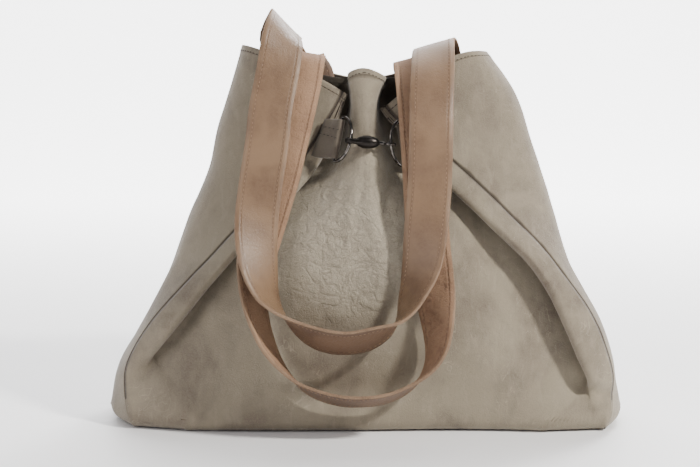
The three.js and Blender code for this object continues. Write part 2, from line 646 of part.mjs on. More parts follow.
/** Rod swept round a closed or open path in the XY plane. */
function rodInPlane(path, outline, closed) {
  const last = path.length - 1;
  const frames = path.map((point, i) => {
    const before = path[closed ? (i + last) % path.length : Math.max(i - 1, 0)];
    const after = path[closed ? (i + 1) % path.length : Math.min(i + 1, last)];
    const ahead = after.clone().sub(before).normalize();
    return {
      point: new THREE.Vector3(point.x, point.y, 0),
      across: new THREE.Vector3(0, 0, 1),
      thick: new THREE.Vector3(ahead.y, -ahead.x, 0),
    };
  });
  return sweep(frames, outline, closed);
}

/** Outline of a tab round the bar: two layers that meet at the sewn end, length away from the bar. */
function tabOutline(length) {
  const inner = RING_WIRE + FIT;
  const outer = inner + TAB_WALL;
  const turn = (radius, from, to) => Array.from({ length: 6 }, (_, i) => {
    const angle = from + ((to - from) * i) / 5;
    return new THREE.Vector2(radius * Math.cos(angle), radius * Math.sin(angle));
  });
  const quarter = Math.PI / 2;
  return [
    new THREE.Vector2(-length, -outer),
    ...turn(outer, -quarter, quarter),
    new THREE.Vector2(-length * 0.42, -outer + 2 * TAB_WALL + 2 * TAB_SLIT),
    new THREE.Vector2(-length, -outer + 2 * TAB_WALL + TAB_SLIT),
    new THREE.Vector2(-length, -outer + TAB_WALL + TAB_SLIT),
    new THREE.Vector2(-length * 0.4, -outer + TAB_WALL + 2 * TAB_SLIT),
    ...turn(inner, quarter, -quarter),
    new THREE.Vector2(-length, -outer + TAB_WALL),
  ];
}

/** Solid between two like outlines, one below and one above, in the XY plane. */
function loft(low, high, from, to) {
  const points = [
    ...low.map((p) => new THREE.Vector3(p.x, p.y, from)),
    ...high.map((p) => new THREE.Vector3(p.x, p.y, to)),
  ];
  const size = low.length;
  const faces = low.flatMap((_, i) => {
    const j = (i + 1) % size;
    return quad(i, j, size + j, size + i);
  });
  THREE.ShapeUtils.triangulateShape(low, []).forEach(([a, b, c]) => faces.push(a, c, b));
  THREE.ShapeUtils.triangulateShape(high, []).forEach(([a, b, c]) => {
    faces.push(size + a, size + b, size + c);
  });
  return solid(points, faces);
}

// Places of the two tabs' bars as shares of the body: height of the middle, and half of the bar's
// lean towards the middle. The left bar's distance from the middle places the whole clip.
const BAR_HEIGHT = 0.766; // share of HEIGHT
const BAR_LEAN = 0.1; // share of the bar's length that each end leans sideways
const LEFT_BAR = -0.103; // share of HALF_WIDTH
const TONGUE_CLEAR = 1; // clearance that keeps the bars and the clip off the leather behind

const ringEnd = HOOK_REACH - HOOK_WIRE - FIT - RING_WIRE; // left ring's wire, from the clip's centre
const eyeCentre = CLIP_LENGTH / 2 + EYE_NECK + EYE_WIRE + EYE_RADIUS;
const eyeEnd = eyeCentre + EYE_RADIUS - EYE_WIRE - FIT - RING_WIRE; // right ring's wire
const swing = THREE.MathUtils.degToRad(RING_SWING);
const droop = THREE.MathUtils.degToRad(CLIP_DROOP);
const bowOut = RING_DEPTH * Math.cos(swing);
const bowForward = RING_DEPTH * Math.sin(swing);

const leftBarX = LEFT_BAR * HALF_WIDTH;
const leftBarZ = BAR_HEIGHT * HEIGHT;
const rightBarX = leftBarX + 2 * bowOut + (ringEnd + eyeEnd) * Math.cos(droop);
const rightBarZ = leftBarZ - (ringEnd + eyeEnd) * Math.sin(droop);

/** Direction up a bar that follows the slope of the leather behind it. */
function barUp(x, z, side) {
  const reach = RING_BAR / 2;
  const sewnX = x + side * TAB_SHORT;
  const slope = (frontAt(sewnX, z + reach) - frontAt(sewnX, z - reach)) / (2 * reach);
  return new THREE.Vector3(-side * 2 * BAR_LEAN, slope, 1).normalize();
}

/** Y of a tab's line at its sewn end and at its bar, so that it rests on the leather behind. */
function tabSeat(x, z, up, side) {
  const roundBar = SEAT_GAP + TAB_WALL + FIT + RING_WIRE;
  const sewn = TAB_STAND + TAB_SLIT + TAB_WALL - FIT - RING_WIRE;
  const free = (out) => Math.min(...[-0.88, -0.45, 0, 0.45, 0.88].map((share) => {
    const rise = (share * RING_BAR) / 2;
    return frontAt(x + rise * up.x + side * out * TAB_LONG, z + rise * up.z) - rise * up.y;
  })) - (out < 0.3 ? roundBar : sewn);
  const end = free(1);
  const bar = Math.min(...[-0.15, 0, 0.2, 0.4, 0.6, 0.8].map((out) => (free(out) - end * out) / (1 - out)));
  return { end, bar };
}

/** Y of the clip's middle line that keeps the clip clear of the tongue behind it. */
function clipClear() {
  const x = leftBarX + bowOut + ringEnd;
  const z = leftBarZ - ringEnd * Math.sin(droop);
  const behind = [-1, -0.5, 0, 0.5, 1].flatMap((out) => [-1, 1].map((rise) => (
    frontAt(x + (out * CLIP_LENGTH) / 2, z + (rise * CLIP_HEIGHT) / 2)
  )));
  return Math.min(...behind) - CLIP_THICKNESS / 2 - TONGUE_CLEAR;
}

const leftUp = barUp(leftBarX, leftBarZ, -1);
const rightUp = barUp(rightBarX, rightBarZ, 1);
const leftSeat = tabSeat(leftBarX, leftBarZ, leftUp, -1);
const rightSeat = tabSeat(rightBarX, rightBarZ, rightUp, 1);
const seatY = Math.min(leftSeat.bar, rightSeat.bar) - TONGUE_CLEAR;
const barY = Math.min(seatY, clipClear() + bowForward);
const clipY = barY - bowForward;

/** Empty group at a place with its X and Z directions given. */
function frameGroup(at, xAxis, zAxis) {
  const holder = new THREE.Group();
  const yAxis = zAxis.clone().cross(xAxis);
  holder.quaternion.setFromRotationMatrix(new THREE.Matrix4().makeBasis(xAxis, yAxis, zAxis));
  holder.position.copy(at);
  return holder;
}

const wasm = await Module();
wasm.setup();

const group = new THREE.Group();

/** Add a named mesh to a holder. */
function add(name, geometry, material, holder = group) {
  const mesh = new THREE.Mesh(geometry, material);
  mesh.name = name;
  holder.add(mesh);
}

/** Add a ring and the tab that holds it; side is -1 for the left one. */
function addRing(sideName, at, up, side, sewnY) {
  const bow = new THREE.Vector3(-side * Math.cos(swing), -Math.sin(swing), 0);
  bow.addScaledVector(up, -bow.dot(up)).normalize();
  const ring = frameGroup(at, bow, bow.clone().cross(up));
  const wire = rodOutline(RING_WIRE, RING_WIRE, 8);
  add(`d_ring_${sideName}`, rodInPlane(ringPath(), wire, true), gunmetal, ring);
  group.add(ring);
  const flat = new THREE.Vector3(-side * TAB_LONG, at.y - sewnY, 0);
  flat.addScaledVector(up, -flat.dot(up)).normalize();
  const tab = frameGroup(at, flat, up);
  const half = RING_BAR / 2 - RING_CORNER - FIT;
  const front = -1; // the outline's outer layer faces the front
  const place = (outline) => {
    const turned = outline.map((p) => new THREE.Vector2(p.x, p.y * front * -side));
    return -side * front > 0 ? turned : turned.reverse();
  };
  const body = loft(place(tabOutline(TAB_LONG)), place(tabOutline(TAB_SHORT)), -half, half);
  add(`ring_tab_${sideName}`, body, leather, tab);
  group.add(tab);
}

/** Body of the clip with its hook, its slot for the lever, and the bore for the swivel's post. */
function clipBody(pivot) {
  const arm = HOOK_OPENING / 2 + HOOK_WIRE;
  const bend = HOOK_REACH - arm;
  const path = [[-3, -1], [-bend * 0.65, -1], [-bend, -1]].map(([x, y]) => new THREE.Vector2(x, y * arm));
  for (let i = 1; i < 8; i += 1) {
    const angle = -Math.PI / 2 - (i / 8) * Math.PI;
    path.push(new THREE.Vector2(-bend + arm * Math.cos(angle), arm * Math.sin(angle)));
  }
  path.push(new THREE.Vector2(-bend, arm), new THREE.Vector2(pivot.nose, arm));
  const hook = toSolid(rodInPlane(path, rodOutline(HOOK_WIDTH, HOOK_WIRE, 8), false));
  const shell = new THREE.SphereGeometry(1, 20, 12);
  shell.scale(CLIP_LENGTH / 2, CLIP_THICKNESS / 2, CLIP_HEIGHT / 2).translate(0, -1, 0);
  const far = CLIP_LENGTH;
  const mouth = block([pivot.nose, -HOOK_OPENING / 2, -far], [pivot.x - GATE_BOSS, far, far]);
  const side = GATE_WIDTH / 2 + FIT;
  const slot = block(
    [pivot.x - far, pivot.y - GATE_BOSS - FIT, -side],
    [pivot.x + GATE_BOSS + FIT, far, side],
  );
  const bore = new THREE.CylinderGeometry(POST_RADIUS + FIT, POST_RADIUS + FIT, 2 * POST_SEAT, 10);
  bore.rotateZ(Math.PI / 2).translate(CLIP_LENGTH / 2, 0, 0);
  const pinHole = pinAt(pivot.x, pivot.y, GATE_PIN + FIT, 2 * far, 10);
  const body = toSolid(shell).subtract(toSolid(mouth)).subtract(toSolid(slot));
  return toGeometry(body.add(hook).subtract(toSolid(bore)).subtract(toSolid(pinHole)));
}

/** The sprung lever, from its boss on the pin to the hook's nose. */
function clipGate(pivot) {
  const tip = new THREE.Vector2(pivot.nose + FIT, HOOK_OPENING / 2 + HOOK_WIRE);
  const root = new THREE.Vector2(pivot.x, pivot.y);
  const ahead = tip.clone().sub(root).normalize();
  const side = new THREE.Vector2(-ahead.y, ahead.x).multiplyScalar(GATE_THICKNESS / 2);
  const nearBoss = 0.82 * GATE_BOSS; // where the bar's sides meet the round boss
  const turnIn = 0.35; // radians of the boss hidden by each side of the bar
  const outline = [tip.clone().sub(side), tip.clone().add(side)];
  outline.push(root.clone().add(side).addScaledVector(ahead, nearBoss));
  const start = Math.atan2(side.y, side.x) + turnIn;
  for (let i = 0; i <= 7; i += 1) {
    const angle = start + (i / 7) * (Math.PI - 2 * turnIn);
    const round = new THREE.Vector2(Math.cos(angle), Math.sin(angle));
    outline.push(root.clone().addScaledVector(round, GATE_BOSS));
  }
  outline.push(root.clone().sub(side).addScaledVector(ahead, nearBoss));
  const shape = new THREE.Shape(outline);
  const plate = new THREE.ExtrudeGeometry(shape, { depth: GATE_WIDTH, bevelEnabled: false });
  plate.translate(0, 0, -GATE_WIDTH / 2);
  const hole = pinAt(pivot.x, pivot.y, GATE_PIN + FIT * 0.6, 2 * GATE_WIDTH, 10);
  return toGeometry(toSolid(plate).subtract(toSolid(hole)));
}

/** The swivel: a post in the body's bore and a closed eye round the right ring. */
function clipSwivel() {
  const circle = Array.from({ length: 14 }, (_, i) => {
    const angle = (2 * Math.PI * i) / 14;
    return new THREE.Vector2(eyeCentre + EYE_RADIUS * Math.cos(angle), EYE_RADIUS * Math.sin(angle));
  });
  const eye = toSolid(rodInPlane(circle, rodOutline(EYE_WIRE, EYE_WIRE, 6), true));
  const from = CLIP_LENGTH / 2 - POST_SEAT + FIT;
  const to = eyeCentre - EYE_RADIUS + EYE_WIRE / 2;
  const post = new THREE.CylinderGeometry(POST_RADIUS, POST_RADIUS, to - from, 10);
  post.rotateZ(Math.PI / 2).translate((from + to) / 2, 0, 0);
  return toGeometry(eye.add(toSolid(post)));
}

add("front_panel", panel(0, FRONT_SPAN), leather);
add("back_panel", panel(FRONT_SPAN, LOOP), leather);
add("base_panel", baseTray(), leather);
const { backLeft, backRight, frontLeft, frontRight } = SEAT_STATIONS;
add("strap_back", strap(backLeft, BACK_STRAP_ROWS, backRight, STRAP_STEPS), brownLeather);
add("strap_front", strap(frontLeft, FRONT_STRAP_ROWS, frontRight, STRAP_STEPS), brownLeather);
addRing("left", new THREE.Vector3(leftBarX, barY, leftBarZ), leftUp, -1, leftSeat.end);
addRing("right", new THREE.Vector3(rightBarX, barY, rightBarZ), rightUp, 1, rightSeat.end);

const pivot = { x: -0.108 * CLIP_LENGTH, y: 0.2 * CLIP_THICKNESS, nose: -0.525 * CLIP_LENGTH };
const leftBow = new THREE.Vector3(leftBarX + bowOut, clipY, leftBarZ);
const clipAxis = new THREE.Vector3(Math.cos(droop), 0, -Math.sin(droop));
const clipUp = new THREE.Vector3(Math.sin(droop), 0, Math.cos(droop));
const clip = frameGroup(leftBow.clone().addScaledVector(clipAxis, ringEnd), clipAxis, clipUp);
add("clip_body", clipBody(pivot), gunmetal, clip);
add("clip_gate", clipGate(pivot), gunmetal, clip);
add("clip_gate_pin", pinAt(pivot.x, pivot.y, GATE_PIN, GATE_PIN_LENGTH, 10), gunmetal, clip);
add("clip_swivel", clipSwivel(), gunmetal, clip);
group.add(clip);

export default group;
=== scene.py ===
"""Slouchy leather tote, its mouth gathered to the front centre by a snap clip between two D-rings."""

from __future__ import annotations

import json
import logging
import math
from collections.abc import Callable, Iterable, Sequence
from dataclasses import dataclass, field
from enum import Enum

import bmesh
import bpy
from mathutils import Matrix, Vector, kdtree, noise

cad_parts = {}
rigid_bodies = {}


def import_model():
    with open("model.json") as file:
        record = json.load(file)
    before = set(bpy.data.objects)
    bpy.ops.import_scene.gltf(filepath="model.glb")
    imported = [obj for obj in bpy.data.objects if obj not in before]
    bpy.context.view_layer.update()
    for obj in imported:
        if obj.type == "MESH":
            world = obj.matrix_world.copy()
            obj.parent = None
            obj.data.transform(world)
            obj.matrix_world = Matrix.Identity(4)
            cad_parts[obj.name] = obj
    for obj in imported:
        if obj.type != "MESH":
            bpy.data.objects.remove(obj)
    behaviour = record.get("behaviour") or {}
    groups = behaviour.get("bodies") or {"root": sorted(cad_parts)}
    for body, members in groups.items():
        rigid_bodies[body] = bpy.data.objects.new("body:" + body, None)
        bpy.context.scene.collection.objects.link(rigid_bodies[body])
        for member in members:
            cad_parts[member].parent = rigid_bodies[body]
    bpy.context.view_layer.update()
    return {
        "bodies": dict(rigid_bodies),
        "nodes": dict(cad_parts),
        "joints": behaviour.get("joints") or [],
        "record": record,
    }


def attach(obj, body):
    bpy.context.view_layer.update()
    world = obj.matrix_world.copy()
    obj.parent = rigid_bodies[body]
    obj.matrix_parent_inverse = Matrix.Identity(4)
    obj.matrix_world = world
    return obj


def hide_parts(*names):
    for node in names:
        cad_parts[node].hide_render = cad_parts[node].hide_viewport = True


LOG = logging.getLogger("tote")
MM = 0.001
BAG = "bag"
GATE = "gate"
CUT_ANGLE = math.radians(60)  # a cut edge of the leather folds more than this
HEM = 6.5  # width of the folded hem, mm
FAR = 99.0  # stands for the distance in mm where no rim or seam is near
NOISE_SEED = 1


class Slot(Enum):
    """Material slots of the record."""

    BODY = "body_leather"
    STRAP = "strap_leather"
    METAL = "hardware"


class Shader:
    """Adds nodes to one tree and joins them."""

    def __init__(self, tree: bpy.types.NodeTree) -> None:
        """Keep the tree."""
        self.tree = tree

    def link(self, value: bpy.types.NodeSocket, into: bpy.types.NodeSocket) -> None:
        """Lead a value into an input."""
        self.tree.links.new(value, into)

    def _fill(self, made: bpy.types.Node, inputs: dict) -> bpy.types.Node:
        """Give a node its values and links by input name or number."""
        for name, value in inputs.items():
            if isinstance(value, bpy.types.NodeSocket):
                self.link(value, made.inputs[name])
            else:
                made.inputs[name].default_value = value
        return made

    def node(self, kind: str, inputs: dict | None = None, **settings: object) -> bpy.types.Node:
        """Add a node.

        Args:
            kind: the node's type name without its prefix.
            inputs: values or sockets by input name or number.
            settings: properties of the node itself.

        Returns:
            The new node.
        """
        made = self.tree.nodes.new("ShaderNode" + kind)
        for name, value in settings.items():
            setattr(made, name, value)
        return self._fill(made, inputs or {})

    def group(self, name: str, inputs: dict) -> bpy.types.Node:
        """Place a shared node group with its own values."""
        made = self.tree.nodes.new("ShaderNodeGroup")
        made.node_tree = bpy.data.node_groups[name]
        return self._fill(made, inputs)

    def place(self) -> bpy.types.NodeSocket:
        """Place on the piece, in its own coordinates."""
        return self.node("TexCoord").outputs["Object"]

    def attribute(self, name: str) -> bpy.types.NodeSocket:
        """Number that the mesh holds under a name."""
        return self.node("Attribute", attribute_name=name).outputs["Fac"]

    def math(self, operation: str, *values: object) -> bpy.types.NodeSocket:
        """Result of a Math node."""
        return self.node("Math", dict(enumerate(values)), operation=operation).outputs[0]

    def gap(self, first: object, second: object) -> bpy.types.NodeSocket:
        """How far two values are apart."""
        return self.math("ABSOLUTE", self.math("SUBTRACT", first, second))

    def span(
        self, value: object, low: float, high: float, to_low: float = 0.0, to_high: float = 1.0
    ) -> bpy.types.NodeSocket:
        """Smoothly remap a value from one range to another."""
        inputs = {0: value, 1: low, 2: high, 3: to_low, 4: to_high}
        return self.node("MapRange", inputs, interpolation_type="SMOOTHSTEP").outputs[0]

    def mix(self, factor: object, first: object, second: object) -> bpy.types.NodeSocket:
        """Colour between two colours."""
        return self.node("Mix", {0: factor, 6: first, 7: second}, data_type="RGBA").outputs[2]

    def layered(self, tone: object, layers: Sequence[tuple]) -> bpy.types.NodeSocket:
        """Lay colours over a first one.

        Args:
            tone: the first colour.
            layers: for each further colour, where it shows, how strongly, and the colour itself.

        Returns:
            The colour with all layers.
        """
        for where, share, colour in layers:
            tone = self.mix(self.math("MULTIPLY", where, share), tone, colour)
        return tone

    def noise(
        self, place: object, scale: object, detail: float = 3.0, rough: float = 0.5, bend: float = 0.0
    ) -> bpy.types.NodeSocket:
        """Value of a noise texture."""
        inputs = {"Vector": place, "Scale": scale, "Detail": detail, "Roughness": rough, "Distortion": bend}
        return self.node("TexNoise", inputs).outputs[0]

    def bump(self, surface: bpy.types.Node, height: object, strength: float, distance: float) -> None:
        """Give a surface its relief."""
        made = self.node("Bump", {"Strength": strength, "Distance": distance, "Height": height})
        self.link(made.outputs[0], surface.inputs["Normal"])


def rgb(red: float, green: float, blue: float) -> tuple[float, float, float, float]:
    """Linear colour from 0-255 screen values."""
    return (*(((v / 255 + 0.055) / 1.055) ** 2.4 for v in (red, green, blue)), 1.0)


def new_group(
    name: str, inputs: Sequence[str], outputs: Sequence[str]
) -> tuple[Shader, bpy.types.Node, bpy.types.Node]:
    """Start a shared node group that takes a place and some numbers.

    Args:
        name: the group's name.
        inputs: names of its number inputs.
        outputs: names of its number outputs.

    Returns:
        Its shader tool, input node and output node.
    """
    tree = bpy.data.node_groups.new(name, "ShaderNodeTree")
    tree.interface.new_socket("Place", in_out="INPUT", socket_type="NodeSocketVector")
    for key in inputs:
        tree.interface.new_socket(key, in_out="INPUT", socket_type="NodeSocketFloat")
    for key in outputs:
        tree.interface.new_socket(key, in_out="OUTPUT", socket_type="NodeSocketFloat")
    return Shader(tree), tree.nodes.new("NodeGroupInput"), tree.nodes.new("NodeGroupOutput")


def build_clouding() -> None:
    """Shared effect: broad and patchy changes of colour."""
    shader, source, sink = new_group("clouding", ["Scale"], ["Broad", "Patchy"])
    place, scale = source.outputs["Place"], source.outputs["Scale"]
    broad = shader.noise(place, scale, 3.0, 0.55, 0.8)
    patchy = shader.noise(place, shader.math("MULTIPLY", scale, 3.7), 5.0, 0.62, 0.4)
    shader.link(shader.span(broad, 0.33, 0.67), sink.inputs["Broad"])
    shader.link(shader.span(patchy, 0.3, 0.7), sink.inputs["Patchy"])


def build_pebble() -> None:
    """Shared effect: fine and coarse cells of grain, with creases between them."""
    shader, source, sink = new_group("pebble", ["Scale", "Bend"], ["Height", "Crease"])
    place, scale, bend = (source.outputs[name] for name in ("Place", "Scale", "Bend"))
    wander = shader.node("TexNoise", {"Vector": place, "Scale": 90.0, "Detail": 3.0}).outputs["Color"]
    shift = shader.node("VectorMath", {0: wander, 1: (0.5, 0.5, 0.5)}, operation="SUBTRACT").outputs[0]
    bent = shader.node("VectorMath", {0: shift, "Scale": bend}, operation="SCALE").outputs[0]
    moved = shader.node("VectorMath", {0: place, 1: bent}, operation="ADD").outputs[0]
    edges = []
    for size, width in ((scale, 0.16), (shader.math("MULTIPLY", scale, 0.43), 0.1)):
        cells = shader.node("TexVoronoi", {"Vector": moved, "Scale": size}, feature="DISTANCE_TO_EDGE")
        edges.append(shader.span(cells.outputs["Distance"], 0.0, width, 1.0, 0.0))
    fine, coarse = edges
    crease = shader.math("MAXIMUM", shader.math("MULTIPLY", fine, 0.6), coarse)
    shader.link(crease, sink.inputs["Crease"])
    shader.link(shader.math("SUBTRACT", 1.0, crease), sink.inputs["Height"])


def build_nap() -> None:
    """Shared effect: short brushed hairs with dust between them, and a few scratches."""
    shader, source, sink = new_group("nap", ["Scale", "Stretch"], ["Height", "Marks"])
    place, scale, stretch = (source.outputs[name] for name in ("Place", "Scale", "Stretch"))
    turned = shader.node("Mapping", {"Vector": place, "Rotation": (0.3, 0.5, 0.9)}).outputs[0]
    squeeze = shader.node("CombineXYZ", {0: 1.0, 1: stretch, 2: stretch}).outputs[0]
    long = shader.node("VectorMath", {0: turned, 1: squeeze}, operation="MULTIPLY").outputs[0]
    hairs = shader.noise(long, shader.math("MULTIPLY", scale, 0.3))
    dust = shader.noise(place, scale, 2.0, 0.6)
    shader.link(shader.math("ADD", shader.math("MULTIPLY", hairs, 0.6), dust), sink.inputs["Height"])
    line = shader.span(shader.gap(shader.noise(turned, 46.0, 2.0, 0.5, 1.6), 0.5), 0.0, 0.012, 1.0, 0.0)
    some = shader.span(shader.noise(place, 21.0, 2.0), 0.5, 0.62)
    shader.link(shader.math("MULTIPLY", line, some), sink.inputs["Marks"])


def material(name: str) -> tuple[bpy.types.Material, Shader, bpy.types.Node]:
    """A new material with its shader tool and Principled node."""
    made = bpy.data.materials.new(name)
    made.use_nodes = True
    surface = made.node_tree.nodes["Principled BSDF"]
    return made, Shader(made.node_tree), surface


@dataclass(frozen=True)
class Nubuck:
    """Brushed greige leather: clouded, with a soft nap, creased where slack, dark at seams and hem line, with
    painted light on the belly below the clip and painted shade far down in the gathers beside the tongue.
    """

    name: str = "greige_nubuck"
    light: tuple = rgb(138, 128, 110)
    dark: tuple = rgb(100, 89, 78)
    patch: tuple = rgb(144, 135, 118)
    # Lighter tone of scratches and brushed nap, and of the painted light on the belly below the clip.
    mark_and_light: tuple = rgb(170, 161, 143)
    shade: tuple = rgb(66, 57, 49)
    # Painted shade far down in the gathers beside the tongue.
    deep_shade: tuple = rgb(30, 26, 23)
    roughness: float = 0.86
    sheen: float = 0.22
    relief: float = 0.5
    relief_depth: float = 0.0013

    def build(self) -> bpy.types.Material:
        """Make the material."""
        made, shader, surface = material(self.name)
        marks = self._marks(shader)
        shader.link(self._tone(shader, marks), surface.inputs["Base Color"])
        rough = shader.span(marks["patchy"], 0.0, 1.0, self.roughness - 0.06, self.roughness + 0.06)
        shader.link(rough, surface.inputs["Roughness"])
        surface.inputs["Sheen Weight"].default_value = self.sheen
        surface.inputs["Sheen Roughness"].default_value = 0.45
        surface.inputs["Specular IOR Level"].default_value = 0.25
        shader.bump(surface, self._height(shader, marks), self.relief, self.relief_depth)
        return made

    def _marks(self, shader: Shader) -> dict[str, bpy.types.NodeSocket]:
        """How strongly each kind of marking and the painted light and shade show at a place, by its name."""
        place = shader.place()
        cloud = shader.group("clouding", {"Place": place, "Scale": 14.0}).outputs
        nap = shader.group("nap", {"Place": place, "Scale": 900.0, "Stretch": 4.0}).outputs
        pebble = shader.group("pebble", {"Place": place, "Scale": 520.0, "Bend": 0.012}).outputs
        slack = shader.attribute("slack")
        # Belly below the clip, where the wrinkles go and where painted light is laid on the bulge.
        gathered = shader.span(slack, 0.3, 0.9)
        stretch = {"Vector": place, "Rotation": (0.0, 0.5, 0.0), "Scale": (150.0, 60.0, 48.0)}
        streaks = shader.node("Mapping", stretch).outputs[0]
        brushed = shader.span(shader.noise(streaks, 1.0, 4.0, 0.6, 0.6), 0.5, 0.68)
        line = shader.span(shader.gap(shader.noise(place, 62.0, 3.0, 0.5, 0.5), 0.5), 0.0, 0.11, 1.0, 0.0)
        return {
            "broad": cloud["Broad"],
            "patchy": cloud["Patchy"],
            "nap": nap["Height"],
            "scratch": nap["Marks"],
            "pebble": shader.math("MULTIPLY", pebble["Height"], shader.math("MULTIPLY", slack, 0.9)),
            "crease": shader.math("MULTIPLY", pebble["Crease"], slack),
            "gathered": gathered,
            "brushed": shader.math("MULTIPLY", brushed, slack),
            "pucker": shader.math("MULTIPLY", line, gathered),
            # Painted shade far down in the gathers beside the tongue, written on the body.
            "recess_shade": shader.attribute("recess_shade"),
            "seam": shader.span(shader.attribute("seam"), 0.4, 2.6, 1.0, 0.0),
            "rim": shader.attribute("rim"),
        }

    def _tone(self, shader: Shader, marks: dict[str, bpy.types.NodeSocket]) -> bpy.types.NodeSocket:
        """Colour, from the clouded hide up to the seam and the hem line."""
        fine = shader.span(marks["nap"], 0.5, 1.1)
        groove = shader.span(shader.gap(marks["rim"], HEM), 0.1, 0.9, 1.0, 0.0)
        return shader.layered(shader.mix(marks["broad"], self.dark, self.light), (
            (marks["patchy"], 0.5, self.patch),
            # Painted light: the bulging belly below the clip is laid lighter.
            (marks["gathered"], 0.85, self.mark_and_light),
            (marks["scratch"], 0.5, self.mark_and_light),
            (fine, 0.45, self.light),
            (marks["brushed"], 0.5, self.mark_and_light),
            # Painted shade in the gathers beside the tongue.
            (marks["recess_shade"], 0.85, self.deep_shade),
            (marks["crease"], 0.3, self.shade),
            (marks["pucker"], 0.14, self.shade),
            (marks["seam"], 0.85, self.shade),
            (groove, 0.6, self.shade),
        ))

    def _height(self, shader: Shader, marks: dict[str, bpy.types.NodeSocket]) -> bpy.types.NodeSocket:
        """Relief, with the folded hem raised and the seam sunk."""
        height = shader.math("ADD", shader.math("MULTIPLY", marks["nap"], 0.34), marks["pebble"])
        height = shader.math("SUBTRACT", height, shader.math("MULTIPLY", marks["pucker"], 2.0))
        fold = shader.span(marks["rim"], HEM - 0.5, HEM + 0.3, 1.1, 0.0)
        return shader.math("SUBTRACT", shader.math("ADD", height, fold), marks["seam"])


@dataclass(frozen=True)
class GrainLeather:
    """Brown leather with a pressed line where it is sewn; a smooth waxy face or a rough flesh face."""

    name: str
    light: tuple
    dark: tuple
    roughness: float = 0.46
    relief: float = 0.28
    grain: float = 420.0
    rub: float = 0.35
    lane: float = 0.74  # place of the pressed line, as a share of half the width; over 1 there is none
    relief_depth: float = 0.0007

    def build(self) -> bpy.types.Material:
        """Make the material."""
        made, shader, surface = material(self.name)
        place = shader.place()
        cloud = shader.group("clouding", {"Place": place, "Scale": 15.0}).outputs
        nap = shader.group("nap", {"Place": place, "Scale": self.grain, "Stretch": 3.0}).outputs
        pebble = shader.group("pebble", {"Place": place, "Scale": self.grain * 1.6, "Bend": 0.002}).outputs
        across = shader.math("ABSOLUTE", shader.attribute("lane"))
        groove = shader.span(shader.gap(across, self.lane), 0.01, 0.07, 1.0, 0.0)
        tone = shader.layered(shader.mix(cloud["Broad"], self.dark, self.light), (
            (cloud["Patchy"], self.rub, self.light),
            (shader.span(nap["Height"], 0.5, 1.1), self.rub, self.light),
            (groove, 0.55, self.dark),
        ))
        shader.link(tone, surface.inputs["Base Color"])
        rough = shader.span(nap["Height"], 0.4, 1.2, self.roughness - 0.07, self.roughness + 0.07)
        shader.link(rough, surface.inputs["Roughness"])
        height = shader.math("ADD", nap["Height"], shader.math("MULTIPLY", pebble["Height"], 0.35))
        height = shader.math("SUBTRACT", height, shader.math("MULTIPLY", groove, 0.9))
        shader.bump(surface, height, self.relief, self.relief_depth)
        return made


@dataclass(frozen=True)
class Metal:
    """Black nickel plate with faint handling marks."""

    name: str = "black_nickel"
    tone: tuple = rgb(122, 117, 112)
    roughness: float = 0.14
    worn: tuple = rgb(48, 45, 44)

    def build(self) -> bpy.types.Material:
        """Make the material."""
        made, shader, surface = material(self.name)
        place = shader.place()
        patchy = shader.group("clouding", {"Place": place, "Scale": 90.0}).outputs["Patchy"]
        shader.link(shader.mix(patchy, self.tone, self.worn), surface.inputs["Base Color"])
        rough = shader.span(patchy, 0.0, 1.0, self.roughness - 0.06, self.roughness + 0.08)
        shader.link(rough, surface.inputs["Roughness"])
        surface.inputs["Metallic"].default_value = 1.0
        shader.bump(surface, shader.noise(place, 1400.0, 2.0), 0.06, 0.0002)
        return made


@dataclass(frozen=True)
class Thread:
    """Twisted sewing thread."""

    name: str
    tone: tuple

    def build(self) -> bpy.types.Material:
        """Make the material."""
        made, shader, surface = material(self.name)
        twist = shader.noise(shader.place(), 2600.0, 1.0)
        darker = tuple(v * 0.6 for v in self.tone[:3]) + (1.0,)
        shader.link(shader.mix(twist, darker, self.tone), surface.inputs["Base Color"])
        surface.inputs["Roughness"].default_value = 0.75
        shader.bump(surface, twist, 0.3, 0.0002)
        return made


def publish(
    name: str, mesh: bmesh.types.BMesh, materials: Sequence[bpy.types.Material]
) -> bpy.types.Object:
    """Turn a bmesh into a smooth-shaded object at the origin."""
    data = bpy.data.meshes.new(name)
    for face in mesh.faces:
        face.smooth = True
    mesh.to_mesh(data)
    mesh.free()
    for item in materials:
        data.materials.append(item)
    made = bpy.data.objects.new(name, data)
    bpy.context.scene.collection.objects.link(made)
    return made


def write_values(piece: bpy.types.Object, name: str, values: Sequence[float]) -> None:
    """Write a number at each point of a piece, for its finish to read."""
    layer = piece.data.attributes.new(name, "FLOAT", "POINT")
    layer.data.foreach_set("value", values)


def bake_modifiers(piece: bpy.types.Object) -> None:
    """Replace a piece's mesh by the result of its modifiers."""
    bpy.context.view_layer.update()
    graph = bpy.context.evaluated_depsgraph_get()
    done = bpy.data.meshes.new_from_object(piece.evaluated_get(graph))
    piece.modifiers.clear()
    old = piece.data
    piece.data = done
    bpy.data.meshes.remove(old)
    stale = done.attributes.get("custom_normal")
    if stale:
        done.attributes.remove(stale)


def subdivide(piece: bpy.types.Object, levels: int) -> None:
    """Subdivide and smooth a piece for good."""
    surface = piece.modifiers.new("smooth", "SUBSURF")
    surface.levels = surface.render_levels = levels
    bake_modifiers(piece)


def merged_copy(node: bpy.types.Object) -> bmesh.types.BMesh:
    """One bmesh of a CAD node, with doubles merged."""
    mesh = bmesh.new()
    mesh.from_mesh(node.data)
    bmesh.ops.remove_doubles(mesh, verts=mesh.verts, dist=1e-6)
    return mesh


